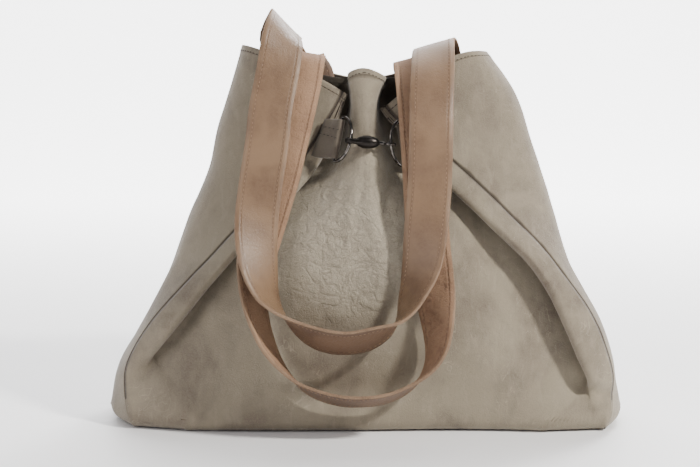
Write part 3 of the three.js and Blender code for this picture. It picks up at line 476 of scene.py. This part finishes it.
def pair_triangles(mesh: bmesh.types.BMesh) -> None:
    """Join triangles into four-sided faces, but not over a cut edge."""
    bmesh.ops.join_triangles(
        mesh, faces=mesh.faces, angle_face_threshold=CUT_ANGLE, angle_shape_threshold=math.pi
    )


def is_cut(edge: bmesh.types.BMEdge) -> bool:
    """Whether an edge is a cut edge of the leather."""
    return len(edge.link_faces) == 2 and edge.calc_face_angle(0.0) > CUT_ANGLE


def runs_of(edges: Iterable[bmesh.types.BMEdge]) -> list[list[bmesh.types.BMVert]]:
    """Join edges end to end into runs of vertices."""
    left = dict.fromkeys(edges)
    runs = []
    while left:
        run = list(left.popitem()[0].verts)
        for grow in (run.append, lambda vert: run.insert(0, vert)):
            while True:
                tip = run[-1] if grow == run.append else run[0]
                step = next((edge for edge in tip.link_edges if edge in left), None)
                if step is None:
                    break
                del left[step]
                grow(step.other_vert(tip))
        runs.append(run)
    return runs


def spline(points: Sequence[Vector], place: float) -> Vector:
    """Point on a Catmull-Rom curve through points, at a position that counts in points."""
    last = len(points) - 1
    index = min(int(place), last - 1)
    t = place - index
    p0, p1, p2, p3 = (points[min(max(index + k, 0), last)] for k in (-1, 0, 1, 2))
    return 0.5 * (
        2 * p1 + (p2 - p0) * t + (2 * p0 - 5 * p1 + 4 * p2 - p3) * t * t
        + (3 * p1 - p0 - 3 * p2 + p3) * t * t * t
    )


@dataclass
class Frame:
    """A place on a strap: its middle, and its directions along, across and out of its face."""

    middle: Vector
    along: Vector
    across: Vector
    face: Vector


def tree_of(points: Sequence[Vector]) -> Callable[[Vector], float]:
    """A measure of the distance in mm to the nearest of some points."""
    tree = kdtree.KDTree(len(points))
    for index, point in enumerate(points):
        tree.insert(point, index)
    tree.balance()
    return lambda place: tree.find(place)[2] / MM if points else FAR


@dataclass
class Sewing:
    """Stitches of one thread, gathered in one piece."""

    name: str
    length: float = 0.0027
    thread: float = 0.0008
    mesh: bmesh.types.BMesh = field(default_factory=bmesh.new)
    points: list[Vector] = field(default_factory=list)
    faces: list[list[int]] = field(default_factory=list)

    def __post_init__(self) -> None:
        """Shape one stitch as a drawn-out bead."""
        bead = bmesh.new()
        size = Matrix.Diagonal((self.thread, self.thread * 0.9, self.length, 1.0))
        bmesh.ops.create_uvsphere(bead, u_segments=6, v_segments=4, radius=0.5, matrix=size)
        bead.verts.index_update()
        self.points = [vert.co.copy() for vert in bead.verts]
        self.faces = [[vert.index for vert in face.verts] for face in bead.faces]
        bead.free()

    def add(self, at: Vector, along: Vector, out: Vector) -> None:
        """Add one sunk stitch.

        Args:
            at: middle of the stitch on the surface.
            along: direction of the seam.
            out: direction away from the surface.
        """
        along = (along - out * along.dot(out)).normalized()
        turn = Matrix((out.cross(along), out, along)).transposed().to_4x4()
        place = Matrix.Translation(at) @ turn
        made = [self.mesh.verts.new(place @ point) for point in self.points]
        for corners in self.faces:
            self.mesh.faces.new([made[index] for index in corners])

    def finish(self, thread: bpy.types.Material, slot: Slot) -> bpy.types.Object:
        """Turn the stitches into a piece of the bag."""
        piece = publish(self.name, self.mesh, [thread])
        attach(piece, BAG)
        return piece


@dataclass(frozen=True)
class Dent:
    """A place on the front that is pressed in, or swells if its depth is under zero; mm and degrees."""

    x: float
    z: float
    long: float
    wide: float
    tilt: float
    depth: float

    def press(self, x: float, z: float) -> float:
        """How far the leather goes in at a place."""
        turn = math.radians(self.tilt)
        dx, dz = x - self.x, z - self.z
        along = (dx * math.cos(turn) + dz * math.sin(turn)) / self.long
        over = (dz * math.cos(turn) - dx * math.sin(turn)) / self.wide
        return self.depth * math.exp(-along * along - over * over)


@dataclass(frozen=True)
class HemPlace:
    """A place on the rim of a panel, with the directions along it, down its wall and off its wall."""

    at: Vector
    along: Vector
    down: Vector
    out: Vector


@dataclass
class Body:
    """Leather body: front, back and bottom as one skin, with hem, folds, dents and slack."""

    joint_low: float = 0.0122  # band of heights where the walls meet the bottom
    joint_high: float = 0.0145
    joint_flat: float = 0.7
    joint_gap: float = 0.0009
    rim_low: float = 0.286
    rim_up: float = 0.45
    floor_high: float = 0.006
    floor_up: float = 0.95
    seam_low: float = 0.018
    seam_steep: float = 0.6
    seam_steps: int = 4
    outer: str = "back_panel"
    levels: int = 2
    crispness: float = 0.75
    inside_most: float = 0.6
    hem_stitch_depth: float = 0.0052
    hem_pitch: float = 0.0042
    hem_facing: float = 0.4
    hem_steep: float = -0.75
    foot: float = 0.004  # height up to which the leather stays as the panels have it
    foot_blend: float = 0.03
    front: float = -0.02  # depth at which the front starts
    front_blend: float = 0.02
    clip_high: float = 0.272
    belly_middle: tuple = (-0.012, 0.178)
    belly_reach: tuple = (0.064, 0.072)
    belly_front: float = -0.03
    slack_least: float = 0.25
    gather_half: float = 0.066  # the gathers either side of the tongue, and where their shade starts
    gather_low: float = 0.25
    gather_back: float = 0.02
    gather_front: float = -0.025
    dents: tuple[Dent, ...] = (
        Dent(-46, 250, 13, 8, 10, 8),  # under the left tab
        Dent(28, 246, 27, 10, 82, 9),  # valley beside the belly
        Dent(3, 257, 12, 9, 30, -3),  # lobe under the clip
        Dent(-207, 60, 30, 10, 45, 9),  # foot of the left roll
        Dent(-162, 108, 40, 6, 55, 6),  # under the left roll
        Dent(220, 37, 24, 8, -20, 9),  # foot of the right roll
        Dent(-36, 224, 27, 4.5, -35, 1.8),
        Dent(-46, 199, 26, 4.5, -52, 1.7),
        Dent(20, 217, 28, 4.5, 70, 1.9),
        Dent(-18, 243, 16, 3.6, -15, 1.4),
        Dent(0, 176, 30, 6, 60, 1.4),
        Dent(-32, 157, 30, 6, -60, 1.4),
        Dent(-120, 92, 60, 22, 35, 2.6),
        Dent(128, 104, 62, 24, -40, 2.6),
        Dent(60, 40, 80, 14, 4, 1.6),
    )

    def build(
        self, nodes: dict, leather: bpy.types.Material, inside: bpy.types.Material, thread: bpy.types.Material
    ) -> list[bpy.types.Object]:
        """Make the body and its hem stitches from the frame's panels.

        Args:
            nodes: the frame's pieces by name.
            leather: finish of the outer faces.
            inside: finish of the inner faces, dark as painted shade.
            thread: finish of the hem stitches.

        Returns:
            The body and its stitches.
        """
        panels = ("front_panel", "back_panel", "base_panel")
        mesh, hem = self._join([nodes[name] for name in panels])
        self._weld_bottom(mesh)
        self._crease_edges(mesh)
        self._shade_inside(mesh)
        piece = publish("body", mesh, [leather, inside])
        subdivide(piece, self.levels)
        self._press(piece)
        self._paint_slack_and_shade(piece)
        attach(piece, BAG)
        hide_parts(*panels)
        return [piece, self._sew_hem(piece, hem, thread)]

    def _join(self, nodes: Sequence[bpy.types.Object]) -> tuple[bmesh.types.BMesh, list[HemPlace]]:
        """Gather the panels in one mesh, with each point's distance in mm from its panel's rim and the seams.

        Args:
            nodes: the panels.

        Returns:
            The mesh, and places for the hem stitches.
        """
        mesh = bmesh.new()
        counts = [0]
        rims, sides, hem = [], [], []
        for node in nodes:
            places, sewn = self._rim(node)
            hem.extend(places)
            rims.append(tree_of([place.at for place in places]))
            if node.name == self.outer:
                sides = sewn
            mesh.from_mesh(node.data)
            counts.append(len(mesh.verts))
        rim, seam = (mesh.verts.layers.float.new(name) for name in ("rim", "seam"))
        mesh.verts.ensure_lookup_table()
        near_seam = tree_of(sides)
        for near_rim, first, last in zip(rims, counts, counts[1:]):
            for index in range(first, last):
                vert = mesh.verts[index]
                vert[rim] = near_rim(vert.co)
                vert[seam] = near_seam(vert.co)
        bmesh.ops.remove_doubles(mesh, verts=mesh.verts, dist=1e-6)
        pair_triangles(mesh)
        return mesh, hem

    def _rim(self, node: bpy.types.Object) -> tuple[list[HemPlace], list[Vector]]:
        """Find a panel's rim and its sewn sides.

        Args:
            node: the panel.

        Returns:
            Places at even steps along both cut edges of the rim, and points along the other cut edges.
        """
        mesh = merged_copy(node)
        pair_triangles(mesh)
        rim = self._rim_edges(mesh)
        places = self._hem_places(rim)
        sewn = self._sewn_points(mesh, rim)
        LOG.info("%s: %d places on its rim, %d on its sides", node.name, len(places), len(sewn))
        mesh.free()
        return places, sewn

    def _rim_edges(self, mesh: bmesh.types.BMesh) -> dict[bmesh.types.BMEdge, tuple[Vector, Vector]]:
        """Long edges of the rim's faces, each with the directions down its wall and off it."""
        rim = {}
        for face in mesh.faces:
            level = face.normal.z >= self.rim_up and face.calc_center_median().z >= self.rim_low
            if not level or len(face.edges) != 4:
                continue
            ring = [loop.edge for loop in face.loops]
            couples = [(ring[k], ring[k + 2]) for k in (0, 1) if is_cut(ring[k]) and is_cut(ring[k + 2])]
            for edge in max(couples, key=lambda couple: couple[0].calc_length(), default=()):
                wall = next(other for other in edge.link_faces if other is not face)
                along = (edge.verts[1].co - edge.verts[0].co).normalized()
                down = wall.normal.cross(along)
                middle = (edge.verts[0].co + edge.verts[1].co) / 2
                if down.dot(wall.calc_center_median() - middle) < 0:
                    down.negate()
                rim[edge] = (down, wall.normal.copy())
        return rim

    def _hem_places(self, rim: dict[bmesh.types.BMEdge, tuple[Vector, Vector]]) -> list[HemPlace]:
        """Places for stitches at even steps along the rim."""
        places = []
        for run in runs_of(rim):
            spare = 0.0
            for near, far in zip(run, run[1:]):
                down, out = rim[next(edge for edge in near.link_edges if edge in rim and far in edge.verts)]
                step = far.co - near.co
                while spare < step.length:
                    places.append(HemPlace(near.co + step.normalized() * spare, step.normalized(), down, out))
                    spare += self.hem_pitch
                spare -= step.length
        return places

    def _sewn_points(self, mesh: bmesh.types.BMesh, rim: Iterable[bmesh.types.BMEdge]) -> list[Vector]:
        """Points along the cut edges that run up the panel's sides."""
        sewn = []
        for edge in mesh.edges:
            first, last = (vert.co for vert in edge.verts)
            if not is_cut(edge) or edge in rim or min(first.z, last.z) <= self.seam_low:
                continue
            steep = abs(last.z - first.z) > self.seam_steep * edge.calc_length()
            if steep or max(first.z, last.z) < self.rim_low:
                sewn.extend(first.lerp(last, k / self.seam_steps) for k in range(self.seam_steps + 1))
        return sewn

    def _sew_hem(
        self, piece: bpy.types.Object, hem: Sequence[HemPlace], thread: bpy.types.Material
    ) -> bpy.types.Object:
        """Sew the hem on both faces of the leather."""
        sewing = Sewing("hem_stitches", length=0.0025, thread=0.0009)
        for place in hem:
            found, at, normal, _ = piece.closest_point_on_mesh(place.at + place.down * self.hem_stitch_depth)
            if found and normal.dot(place.out) > self.hem_facing and place.down.z < self.hem_steep:
                sewing.add(at, place.along, normal)
        return sewing.finish(thread, Slot.BODY)

    def _weld_bottom(self, mesh: bmesh.types.BMesh) -> None:
        """Join the panels' lower edges to the bottom's wall, so that no gap shows."""
        between = [
            face for face in mesh.faces
            if all(self.joint_low < vert.co.z < self.joint_high for vert in face.verts)
            and abs(face.normal.z) > self.joint_flat
        ]
        bmesh.ops.delete(mesh, geom=between, context="FACES_ONLY")
        rim = [vert for vert in mesh.verts if self.joint_low < vert.co.z < self.joint_high]
        bmesh.ops.remove_doubles(mesh, verts=rim, dist=self.joint_gap)
        loose = [vert for vert in mesh.verts if not vert.link_faces]
        bmesh.ops.delete(mesh, geom=loose, context="VERTS")

    def _crease_edges(self, mesh: bmesh.types.BMesh) -> None:
        """Keep the cut edges of the leather fairly crisp."""
        layer = mesh.edges.layers.float.new("crease_edge")
        for edge in mesh.edges:
            if is_cut(edge):
                edge[layer] = self.crispness

    def _shade_inside(self, mesh: bmesh.types.BMesh) -> None:
        """Give the inner faces, as far as the cut edges, the dark finish of painted shade, unless they run on
        outside.
        """
        queue = [
            face for face in mesh.faces
            if face.normal.z > self.floor_up and face.calc_center_median().z < self.floor_high
        ]
        inner = set(queue)
        while queue:
            for edge in queue.pop().edges:
                for face in () if is_cut(edge) else edge.link_faces:
                    if face not in inner:
                        inner.add(face)
                        queue.append(face)
        LOG.info("inner faces: %d of %d", len(inner), len(mesh.faces))
        if len(inner) < self.inside_most * len(mesh.faces):
            for face in inner:
                face.material_index = 1

    def _press(self, piece: bpy.types.Object) -> None:
        """Press the dents into the front and let the whole leather run a little uneven."""
        for vert in piece.data.vertices:
            x, y, z = vert.co
            stand = min(1.0, max(0.0, (z - self.foot) / self.foot_blend))
            swell = noise.noise_vector(vert.co * 16) * 0.0011 + noise.noise_vector(vert.co * 45) * 0.0004
            vert.co += swell * stand
            if y < self.front:
                depth = sum(dent.press(x / MM, z / MM) for dent in self.dents)
                depth += self._gathers(x, z) * self._belly(x, z)
                vert.co.y += depth * MM * min(1.0, (self.front - y) / self.front_blend) * stand

    def _gathers(self, x: float, z: float) -> float:
        """Depth in mm of the folds that spread from the clip, with short wrinkles across them."""
        turn = math.atan2(x, self.clip_high - z)  # the folds fan out by this angle
        reach = math.hypot(x, self.clip_high - z)
        fold = noise.noise(Vector((turn * 4.5, reach * 13, 9.0))) * 3.6
        crease = max(0.0, 1 - abs(noise.noise(Vector((turn * 9, reach * 72, 3.1)))) * 5)
        pucker = max(0.0, 1 - abs(noise.noise(Vector((x * 95, z * 70, 6.4)))) * 5)
        return fold + crease * crease * 2.4 + pucker * pucker * 1.8

    def _belly(self, x: float, z: float) -> float:
        """How much a place belongs to the gathered belly below the clip."""
        over = (x - self.belly_middle[0]) / self.belly_reach[0]
        up = (z - self.belly_middle[1]) / self.belly_reach[1]
        return math.exp(-over ** 2 - up ** 2)

    def _paint_slack_and_shade(self, piece: bpy.types.Object) -> None:
        """Write how slack the leather is at each point and how much painted shade it gets far down in the
        gathers.
        """
        verts = piece.data.vertices
        write_values(piece, "slack", [self._slack(*vert.co) for vert in verts])
        write_values(piece, "recess_shade", [self._shade_of_gathers(*vert.co) for vert in verts])

    def _slack(self, x: float, y: float, z: float) -> float:
        """How slack the leather is at a place, which shows as fine creases and, on the belly below the clip,
        as painted light.
        """
        belly = self._belly(x, z) if y < self.belly_front else 0.0
        return self.slack_least + (1 - self.slack_least) * belly

    def _shade_of_gathers(self, x: float, y: float, z: float) -> float:
        """How much painted shade a place gets far down in the gathers either side of the tongue."""
        if abs(x) > self.gather_half or z < self.gather_low or y > self.gather_back:
            return 0.0
        return min(1.0, max(0.0, (y - self.gather_front) / 0.014)) * min(1.0, (z - self.gather_low) / 0.03)


@dataclass
class Strap:
    """A long flat strap with two stitched edges, swept along the sections of its CAD node."""

    name: str
    node: str
    end_low: float = 0.275  # band of heights where the strap's ends lie
    end_high: float = 0.312
    end_down: float = -0.88
    steps: int = 300
    samples: int = 2000
    columns: int = 8
    inset: float = 0.0052
    pitch: float = 0.0042
    bare_ends: int = 4  # stitches left out at each end
    edge_round: float = 0.0005
    width: float = 0.0  # measured on the node, as are the two below
    thickness: float = 0.0
    length: float = 0.0
    frames: list[Frame] = field(default_factory=list)

    def trace(self, node: bpy.types.Object) -> tuple[list[Vector], list[Vector]]:
        """Middles and width directions of the node's sections, from its left end on.

        Args:
            node: the strap's CAD node, whose sections each join only the next.

        Returns:
            The middles and the width directions.
        """
        mesh = merged_copy(node)
        ends = [
            face for face in mesh.faces
            if face.normal.z < self.end_down and self.end_low < face.calc_center_median().z < self.end_high
        ]
        left = (face for face in ends if face.calc_center_median().x < 0)
        ring = list(dict.fromkeys(vert for face in left for vert in face.verts))
        seen, across = set(ring), Vector((1, 0, 0))
        middles, widths = [], []
        while ring:
            middle = sum((vert.co for vert in ring), Vector()) / len(ring)
            for _ in range(6):
                spread = ((vert.co - middle) * (vert.co - middle).dot(across) for vert in ring)
                across = sum(spread, Vector()).normalized()
            middles.append(middle)
            widths.append(across.copy())
            if len(middles) == 3:
                self._measure([vert.co - middle for vert in ring], across)
            beside = (edge.other_vert(vert) for vert in ring for edge in vert.link_edges)
            ring = list(dict.fromkeys(vert for vert in beside if vert not in seen))
            seen.update(ring)
        mesh.free()
        size = (self.width / MM, self.thickness / MM)
        LOG.info("%s: %d sections, %.1f by %.1f mm", self.node, len(middles), *size)
        return middles, widths

    def _measure(self, section: Sequence[Vector], across: Vector) -> None:
        """Take width and thickness from the corners of a section, seen from its middle."""
        reach = [corner.dot(across) for corner in section]
        self.width = max(reach) - min(reach)
        self.thickness = 2 * max((corner - across * corner.dot(across)).length for corner in section)

    def lay(self, centres: Sequence[Vector], widths: Sequence[Vector]) -> None:
        """Work out the frames along the strap at even lengths."""
        count = len(centres) - 1
        dense = [spline(centres, count * k / self.samples) for k in range(self.samples + 1)]
        lengths = [0.0]
        for first, second in zip(dense, dense[1:]):
            lengths.append(lengths[-1] + (second - first).length)
        self.frames = []
        at = 0
        for step in range(self.steps + 1):
            target = lengths[-1] * step / self.steps
            while at < self.samples - 1 and lengths[at + 1] < target:
                at += 1
            share = (target - lengths[at]) / max(lengths[at + 1] - lengths[at], 1e-9)
            place = min(count * (at + share) / self.samples, count - 1e-6)
            after, before = min(place + 0.05, count - 1e-6), max(place - 0.05, 0.0)
            along = (spline(centres, after) - spline(centres, before)).normalized()
            across = spline(widths, place)
            across = (across - along * across.dot(along)).normalized()
            self.frames.append(Frame(spline(centres, place), along, across, along.cross(across).normalized()))
        self.length = lengths[-1]

    def build(
        self, node: bpy.types.Object, finishes: Sequence[bpy.types.Material], thread: bpy.types.Material
    ) -> list[bpy.types.Object]:
        """Make the strap and its stitches.

        Args:
            node: the strap's CAD node.
            finishes: finish of the face that shows in front, of the other face (a darker one, as painted
                shade) and of the cut edges.
            thread: finish of the stitches.

        Returns:
            The strap and its stitching.
        """
        self.lay(*self.trace(node))
        band = self._band(finishes)
        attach(band, BAG)
        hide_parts(self.node)
        return [band, self._stitches(thread)]

    def _outline(self) -> list[tuple[float, float, int]]:
        """Cross section: places across and out, with the material of the face after each point."""
        half, thin, trim = self.width / 2, self.thickness / 2, self.edge_round
        last = self.columns
        spread = [(-1 + 2 * k / last) * (half - trim) for k in range(last + 1)]
        top = [(a, thin, 0 if k < last else 2) for k, a in enumerate(spread)]
        low = [(-a, -thin, 1 if k < last else 2) for k, a in enumerate(spread)]
        right = [(half, thin - trim, 2), (half, trim - thin, 2)]
        left = [(-half, trim - thin, 2), (-half, thin - trim, 2)]
        return top + right + low + left

    def _band(self, materials: Sequence[bpy.types.Material]) -> bpy.types.Object:
        """The leather band."""
        mesh = bmesh.new()
        lane = mesh.verts.layers.float.new("lane")
        outline = self._outline()
        size = len(outline)
        first = self.frames[0]
        ring = [mesh.verts.new(self._place(first, a, b, 0)) for a, b, _ in outline]
        for vert, (a, _, _) in zip(ring, outline):
            vert[lane] = a / (self.width / 2)
        edges = [mesh.edges.new((ring[k], ring[(k + 1) % size])) for k in range(size)]
        cap = mesh.faces.new(reversed(ring))
        cap.material_index = 2
        for step, frame in enumerate(self.frames[1:], 1):
            made = bmesh.ops.extrude_edge_only(mesh, edges=edges)["geom"]
            fresh = {item for item in made if isinstance(item, bmesh.types.BMVert)}
            after = [self._partner(vert, fresh) for vert in ring]
            for vert, (a, b, _) in zip(after, outline):
                vert.co = self._place(frame, a, b, step)
                vert[lane] = a / (self.width / 2)
            next_edges = []
            for k in range(size):
                near, far = after[k], after[(k + 1) % size]
                next_edges.append(mesh.edges.get((near, far)))
                for face in next_edges[-1].link_faces:
                    face.material_index = outline[k][2]
            ring, edges = after, next_edges
        end = mesh.faces.new(ring)
        end.material_index = 2
        bmesh.ops.recalc_face_normals(mesh, faces=mesh.faces)
        return publish(self.name, mesh, materials)

    @staticmethod
    def _partner(vert: bmesh.types.BMVert, fresh: set[bmesh.types.BMVert]) -> bmesh.types.BMVert:
        """The new point that was drawn out of an old one."""
        return next(edge.other_vert(vert) for edge in vert.link_edges if edge.other_vert(vert) in fresh)

    def _place(self, frame: Frame, across: float, out: float, step: int) -> Vector:
        """Point of the cross section, with the edges wavering as cut leather does."""
        sway = noise.noise(Vector((step * 0.05, across * 30, len(self.name)))) * 0.0005
        fray = 0.0
        if abs(across) > self.width * 0.48:
            fray = noise.noise(Vector((step * 0.9, out * 900, across * 50))) * 0.0003
        return frame.middle + frame.across * (across + fray) + frame.face * (out + sway)

    def _stitches(self, thread: bpy.types.Material) -> bpy.types.Object:
        """Two rows of stitches on both faces."""
        sewing = Sewing(self.name + "_stitches")
        count = int(self.length / self.pitch)
        reach = self.width / 2 - self.inset
        for k in range(self.bare_ends, count - self.bare_ends):
            place = k / count * self.steps
            low = int(place)
            one, two = self.frames[low], self.frames[min(low + 1, self.steps)]
            t = place - low
            middle = one.middle.lerp(two.middle, t)
            along = one.along.lerp(two.along, t).normalized()
            across = one.across.lerp(two.across, t).normalized()
            face = one.face.lerp(two.face, t).normalized()
            for side in (-1, 1):
                for out in (-1, 1):
                    at = middle + across * side * reach + face * out * self.thickness / 2
                    sewing.add(at, along, face * out)
        return sewing.finish(thread, Slot.STRAP)


@dataclass
class Hardware:
    """Rings, tabs and the snap clip, from the frame's own pieces."""

    levels: int = 2
    tab_rows: tuple = ((-40.5, 284.5, -25.5, 282.5), (-41.5, 278, -27.5, 275))  # ends of the stitch rows, mm
    tab_stitches: int = 5
    fold_angle: float = math.radians(62)
    crispness: float = 0.7

    def build(self, nodes: dict, finishes: dict[str, bpy.types.Material]) -> list[bpy.types.Object]:
        """Round off every small piece and sew the left tab.

        Args:
            nodes: the frame's pieces by name.
            finishes: "metal" of the rings and the clip's moving pieces, "plate" of the clip's body,
            "leather" of the tabs, a lighter copy of the body leather laid on as painted light, and "thread"
            of their stitches.

        Returns:
            The pieces.
        """
        made = {}
        for name, node in nodes.items():
            if name.startswith(("d_ring", "clip")):
                finish = finishes["plate" if name == "clip_body" else "metal"]
                made[name] = self._rounded(node, name, finish)
            elif name.startswith("ring_tab"):
                made[name] = self._rounded(node, name, finishes["leather"])
        return [*made.values(), self._sew_tab(made["ring_tab_left"], finishes["thread"])]

    def _sew_tab(self, tab: bpy.types.Object, thread: bpy.types.Material) -> bpy.types.Object:
        """Two short rows of stitches on the front of a tab."""
        sewing = Sewing("tab_stitches", thread=0.0009)
        for x0, z0, x1, z1 in self.tab_rows:
            for k in range(self.tab_stitches):
                share = k / (self.tab_stitches - 1)
                x, z = (x0 + (x1 - x0) * share) * MM, (z0 + (z1 - z0) * share) * MM
                hit, at, normal, _ = tab.ray_cast(Vector((x, -0.5, z)), Vector((0, 1, 0)))
                if hit:
                    sewing.add(at, Vector((x1 - x0, 0, z1 - z0)).normalized(), normal)
        return sewing.finish(thread, Slot.BODY)

    def _rounded(
        self, node: bpy.types.Object, name: str, finish: bpy.types.Material
    ) -> bpy.types.Object:
        """A smooth copy of one node that stands for it."""
        mesh = merged_copy(node)
        pair_triangles(mesh)
        layer = mesh.edges.layers.float.new("crease_edge")
        for edge in mesh.edges:
            if len(edge.link_faces) == 2 and edge.calc_face_angle(0.0) > self.fold_angle:
                edge[layer] = self.crispness
        piece = publish(name + "_smooth", mesh, [finish])
        subdivide(piece, self.levels)
        write_values(piece, "rim", [FAR] * len(piece.data.vertices))
        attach(piece, GATE if name == "clip_gate" else BAG)
        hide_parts(name)
        return piece


@dataclass
class Studio:
    """Pale floor that curves up behind and glows there, four lights and the camera."""

    focal: float = 80.0
    camera_place: tuple = (-0.014, -1.4901, 0.3997)
    pitch: float = 8.5
    reach: float = 3.0
    depth: float = 1.6
    bend: float = 0.8
    bend_steps: int = 8
    wall_high: float = 4.0
    glow: float = 3.2
    sky: float = 0.25

    def build(self) -> None:
        """Make floor, lights and camera."""
        self._backdrop()
        self._camera()
        self._area("key", (1.4, -1.05, 1.5), (0.0, -0.05, 0.15), 0.24, 70.0, (1.0, 0.97, 0.92))
        self._area("fill", (-1.6, -1.5, 1.2), (0.0, 0.0, 0.15), 1.6, 22.0, (1.0, 0.96, 0.97))
        self._area("back", (0.9, 1.3, 1.6), (0.0, 0.0, 0.1), 0.6, 34.0, (1.0, 1.0, 1.0))
        self._area("sweep", (0.0, 1.0, 2.6), (0.0, 2.4, 1.1), 2.2, 60.0, (1.0, 1.0, 1.0))
        world = bpy.context.scene.world or bpy.data.worlds.new("studio")
        bpy.context.scene.world = world
        world.use_nodes = True
        sky = world.node_tree.nodes["Background"]
        sky.inputs["Color"].default_value = (0.95, 0.96, 1.0, 1.0)
        sky.inputs["Strength"].default_value = self.sky

    def _backdrop(self) -> None:
        """Floor with a swept back wall."""
        mesh = bmesh.new()
        line = [(-self.reach, 0.0), (self.depth, 0.0)]
        for k in range(1, self.bend_steps + 1):
            angle = math.pi / 2 * k / self.bend_steps
            line.append((self.depth + self.bend * math.sin(angle), self.bend * (1 - math.cos(angle))))
        line.append((self.depth + self.bend, self.wall_high))
        left = [mesh.verts.new((-self.reach, y, z)) for y, z in line]
        edges = [mesh.edges.new(pair) for pair in zip(left, left[1:])]
        made = bmesh.ops.extrude_edge_only(mesh, edges=edges)["geom"]
        fresh = [item for item in made if isinstance(item, bmesh.types.BMVert)]
        bmesh.ops.translate(mesh, vec=(2 * self.reach, 0, 0), verts=fresh)
        bmesh.ops.recalc_face_normals(mesh, faces=mesh.faces)
        publish("floor", mesh, [self._paper()])

    def _paper(self) -> bpy.types.Material:
        """White paper that is lit from inside towards the back."""
        paper, shader, surface = material("studio_paper")
        place = shader.place()
        tone = shader.mix(shader.noise(place, 3.0), rgb(240, 240, 241), rgb(244, 244, 245))
        shader.link(tone, surface.inputs["Base Color"])
        surface.inputs["Roughness"].default_value = 0.55
        depth = shader.node("SeparateXYZ", {0: place}).outputs[1]
        glow = shader.mix(shader.span(depth, 0.2, 2.0), (0.0, 0.0, 0.0, 1.0), (1.0, 1.0, 1.0, 1.0))
        shader.link(glow, surface.inputs["Emission Color"])
        surface.inputs["Emission Strength"].default_value = self.glow
        return paper

    def _camera(self) -> None:
        """Camera at the photograph's height and distance."""
        data = bpy.data.cameras.new("view")
        data.lens = self.focal
        data.sensor_width = 36.0
        camera = bpy.data.objects.new("view", data)
        camera.location = self.camera_place
        camera.rotation_euler = (math.radians(90 - self.pitch), 0, 0)
        bpy.context.scene.collection.objects.link(camera)
        bpy.context.scene.camera = camera

    @staticmethod
    def _area(name: str, place: tuple, target: tuple, size: float, power: float, tint: tuple) -> None:
        """A round area light aimed at a point."""
        data = bpy.data.lights.new(name, "AREA")
        data.shape = "DISK"
        data.size = size
        data.energy = power
        data.color = tint
        light = bpy.data.objects.new(name, data)
        light.location = place
        light.rotation_euler = (Vector(target) - Vector(place)).to_track_quat("-Z", "Y").to_euler()
        bpy.context.scene.collection.objects.link(light)


def build_pieces(nodes: dict) -> list[bpy.types.Object]:
    """Make the finishes, then every piece of the bag with them."""
    build_clouding()
    build_pebble()
    build_nap()
    nubuck = Nubuck().build()
    # Lighter copy of the body leather for the ring tabs: painted light.
    tab_lit = Nubuck("tab_nubuck_lit", rgb(172, 163, 145), rgb(132, 122, 107)).build()
    smooth = GrainLeather("strap_smooth", rgb(122, 97, 73), rgb(92, 69, 51)).build()
    # Darker copy of the strap leather for the back faces of both straps: painted shade.
    shaded_reverse = GrainLeather("strap_reverse_shaded", rgb(104, 81, 63), rgb(76, 57, 44), 0.6, 0.3).build()
    flesh = GrainLeather("strap_flesh", rgb(150, 119, 93), rgb(106, 78, 59), 0.88, 0.9, 260.0, 0.6).build()
    edge = GrainLeather("strap_cut_edge", rgb(140, 115, 92), rgb(98, 77, 60), 0.92, 0.9, 600.0, 0.6, 9.0)
    cut = edge.build()
    # Dark finish of the inner faces: painted shade inside the bag.
    shaded_inside = GrainLeather("dark_inside_shade", rgb(58, 49, 43), rgb(38, 32, 28), 0.95, 0.5, 300.0, 0.3, 9.0)
    inside = shaded_inside.build()
    metal = Metal().build()
    plate = Metal("dark_plate", rgb(44, 41, 37), 0.34).build()
    tan = Thread("tan_thread", rgb(152, 124, 98)).build()
    brown = Thread("brown_thread", rgb(48, 38, 32)).build()
    return [
        *Body().build(nodes, nubuck, inside, brown),
        *Strap("strap_back_band", "strap_back").build(nodes["strap_back"], (smooth, shaded_reverse, cut), tan),
        *Strap("strap_front_band", "strap_front").build(nodes["strap_front"], (flesh, shaded_reverse, cut), tan),
        *Hardware().build(nodes, {"metal": metal, "plate": plate, "leather": tab_lit, "thread": brown}),
    ]


def main() -> None:
    """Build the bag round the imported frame."""
    logging.basicConfig(level=logging.INFO, format="%(name)s: %(message)s")
    noise.seed_set(NOISE_SEED)
    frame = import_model()
    Studio().build()
    for piece in build_pieces(frame["nodes"]):
        LOG.info("%s: %d faces", piece.name, len(piece.data.polygons))


if __name__ == "__main__":
    main()
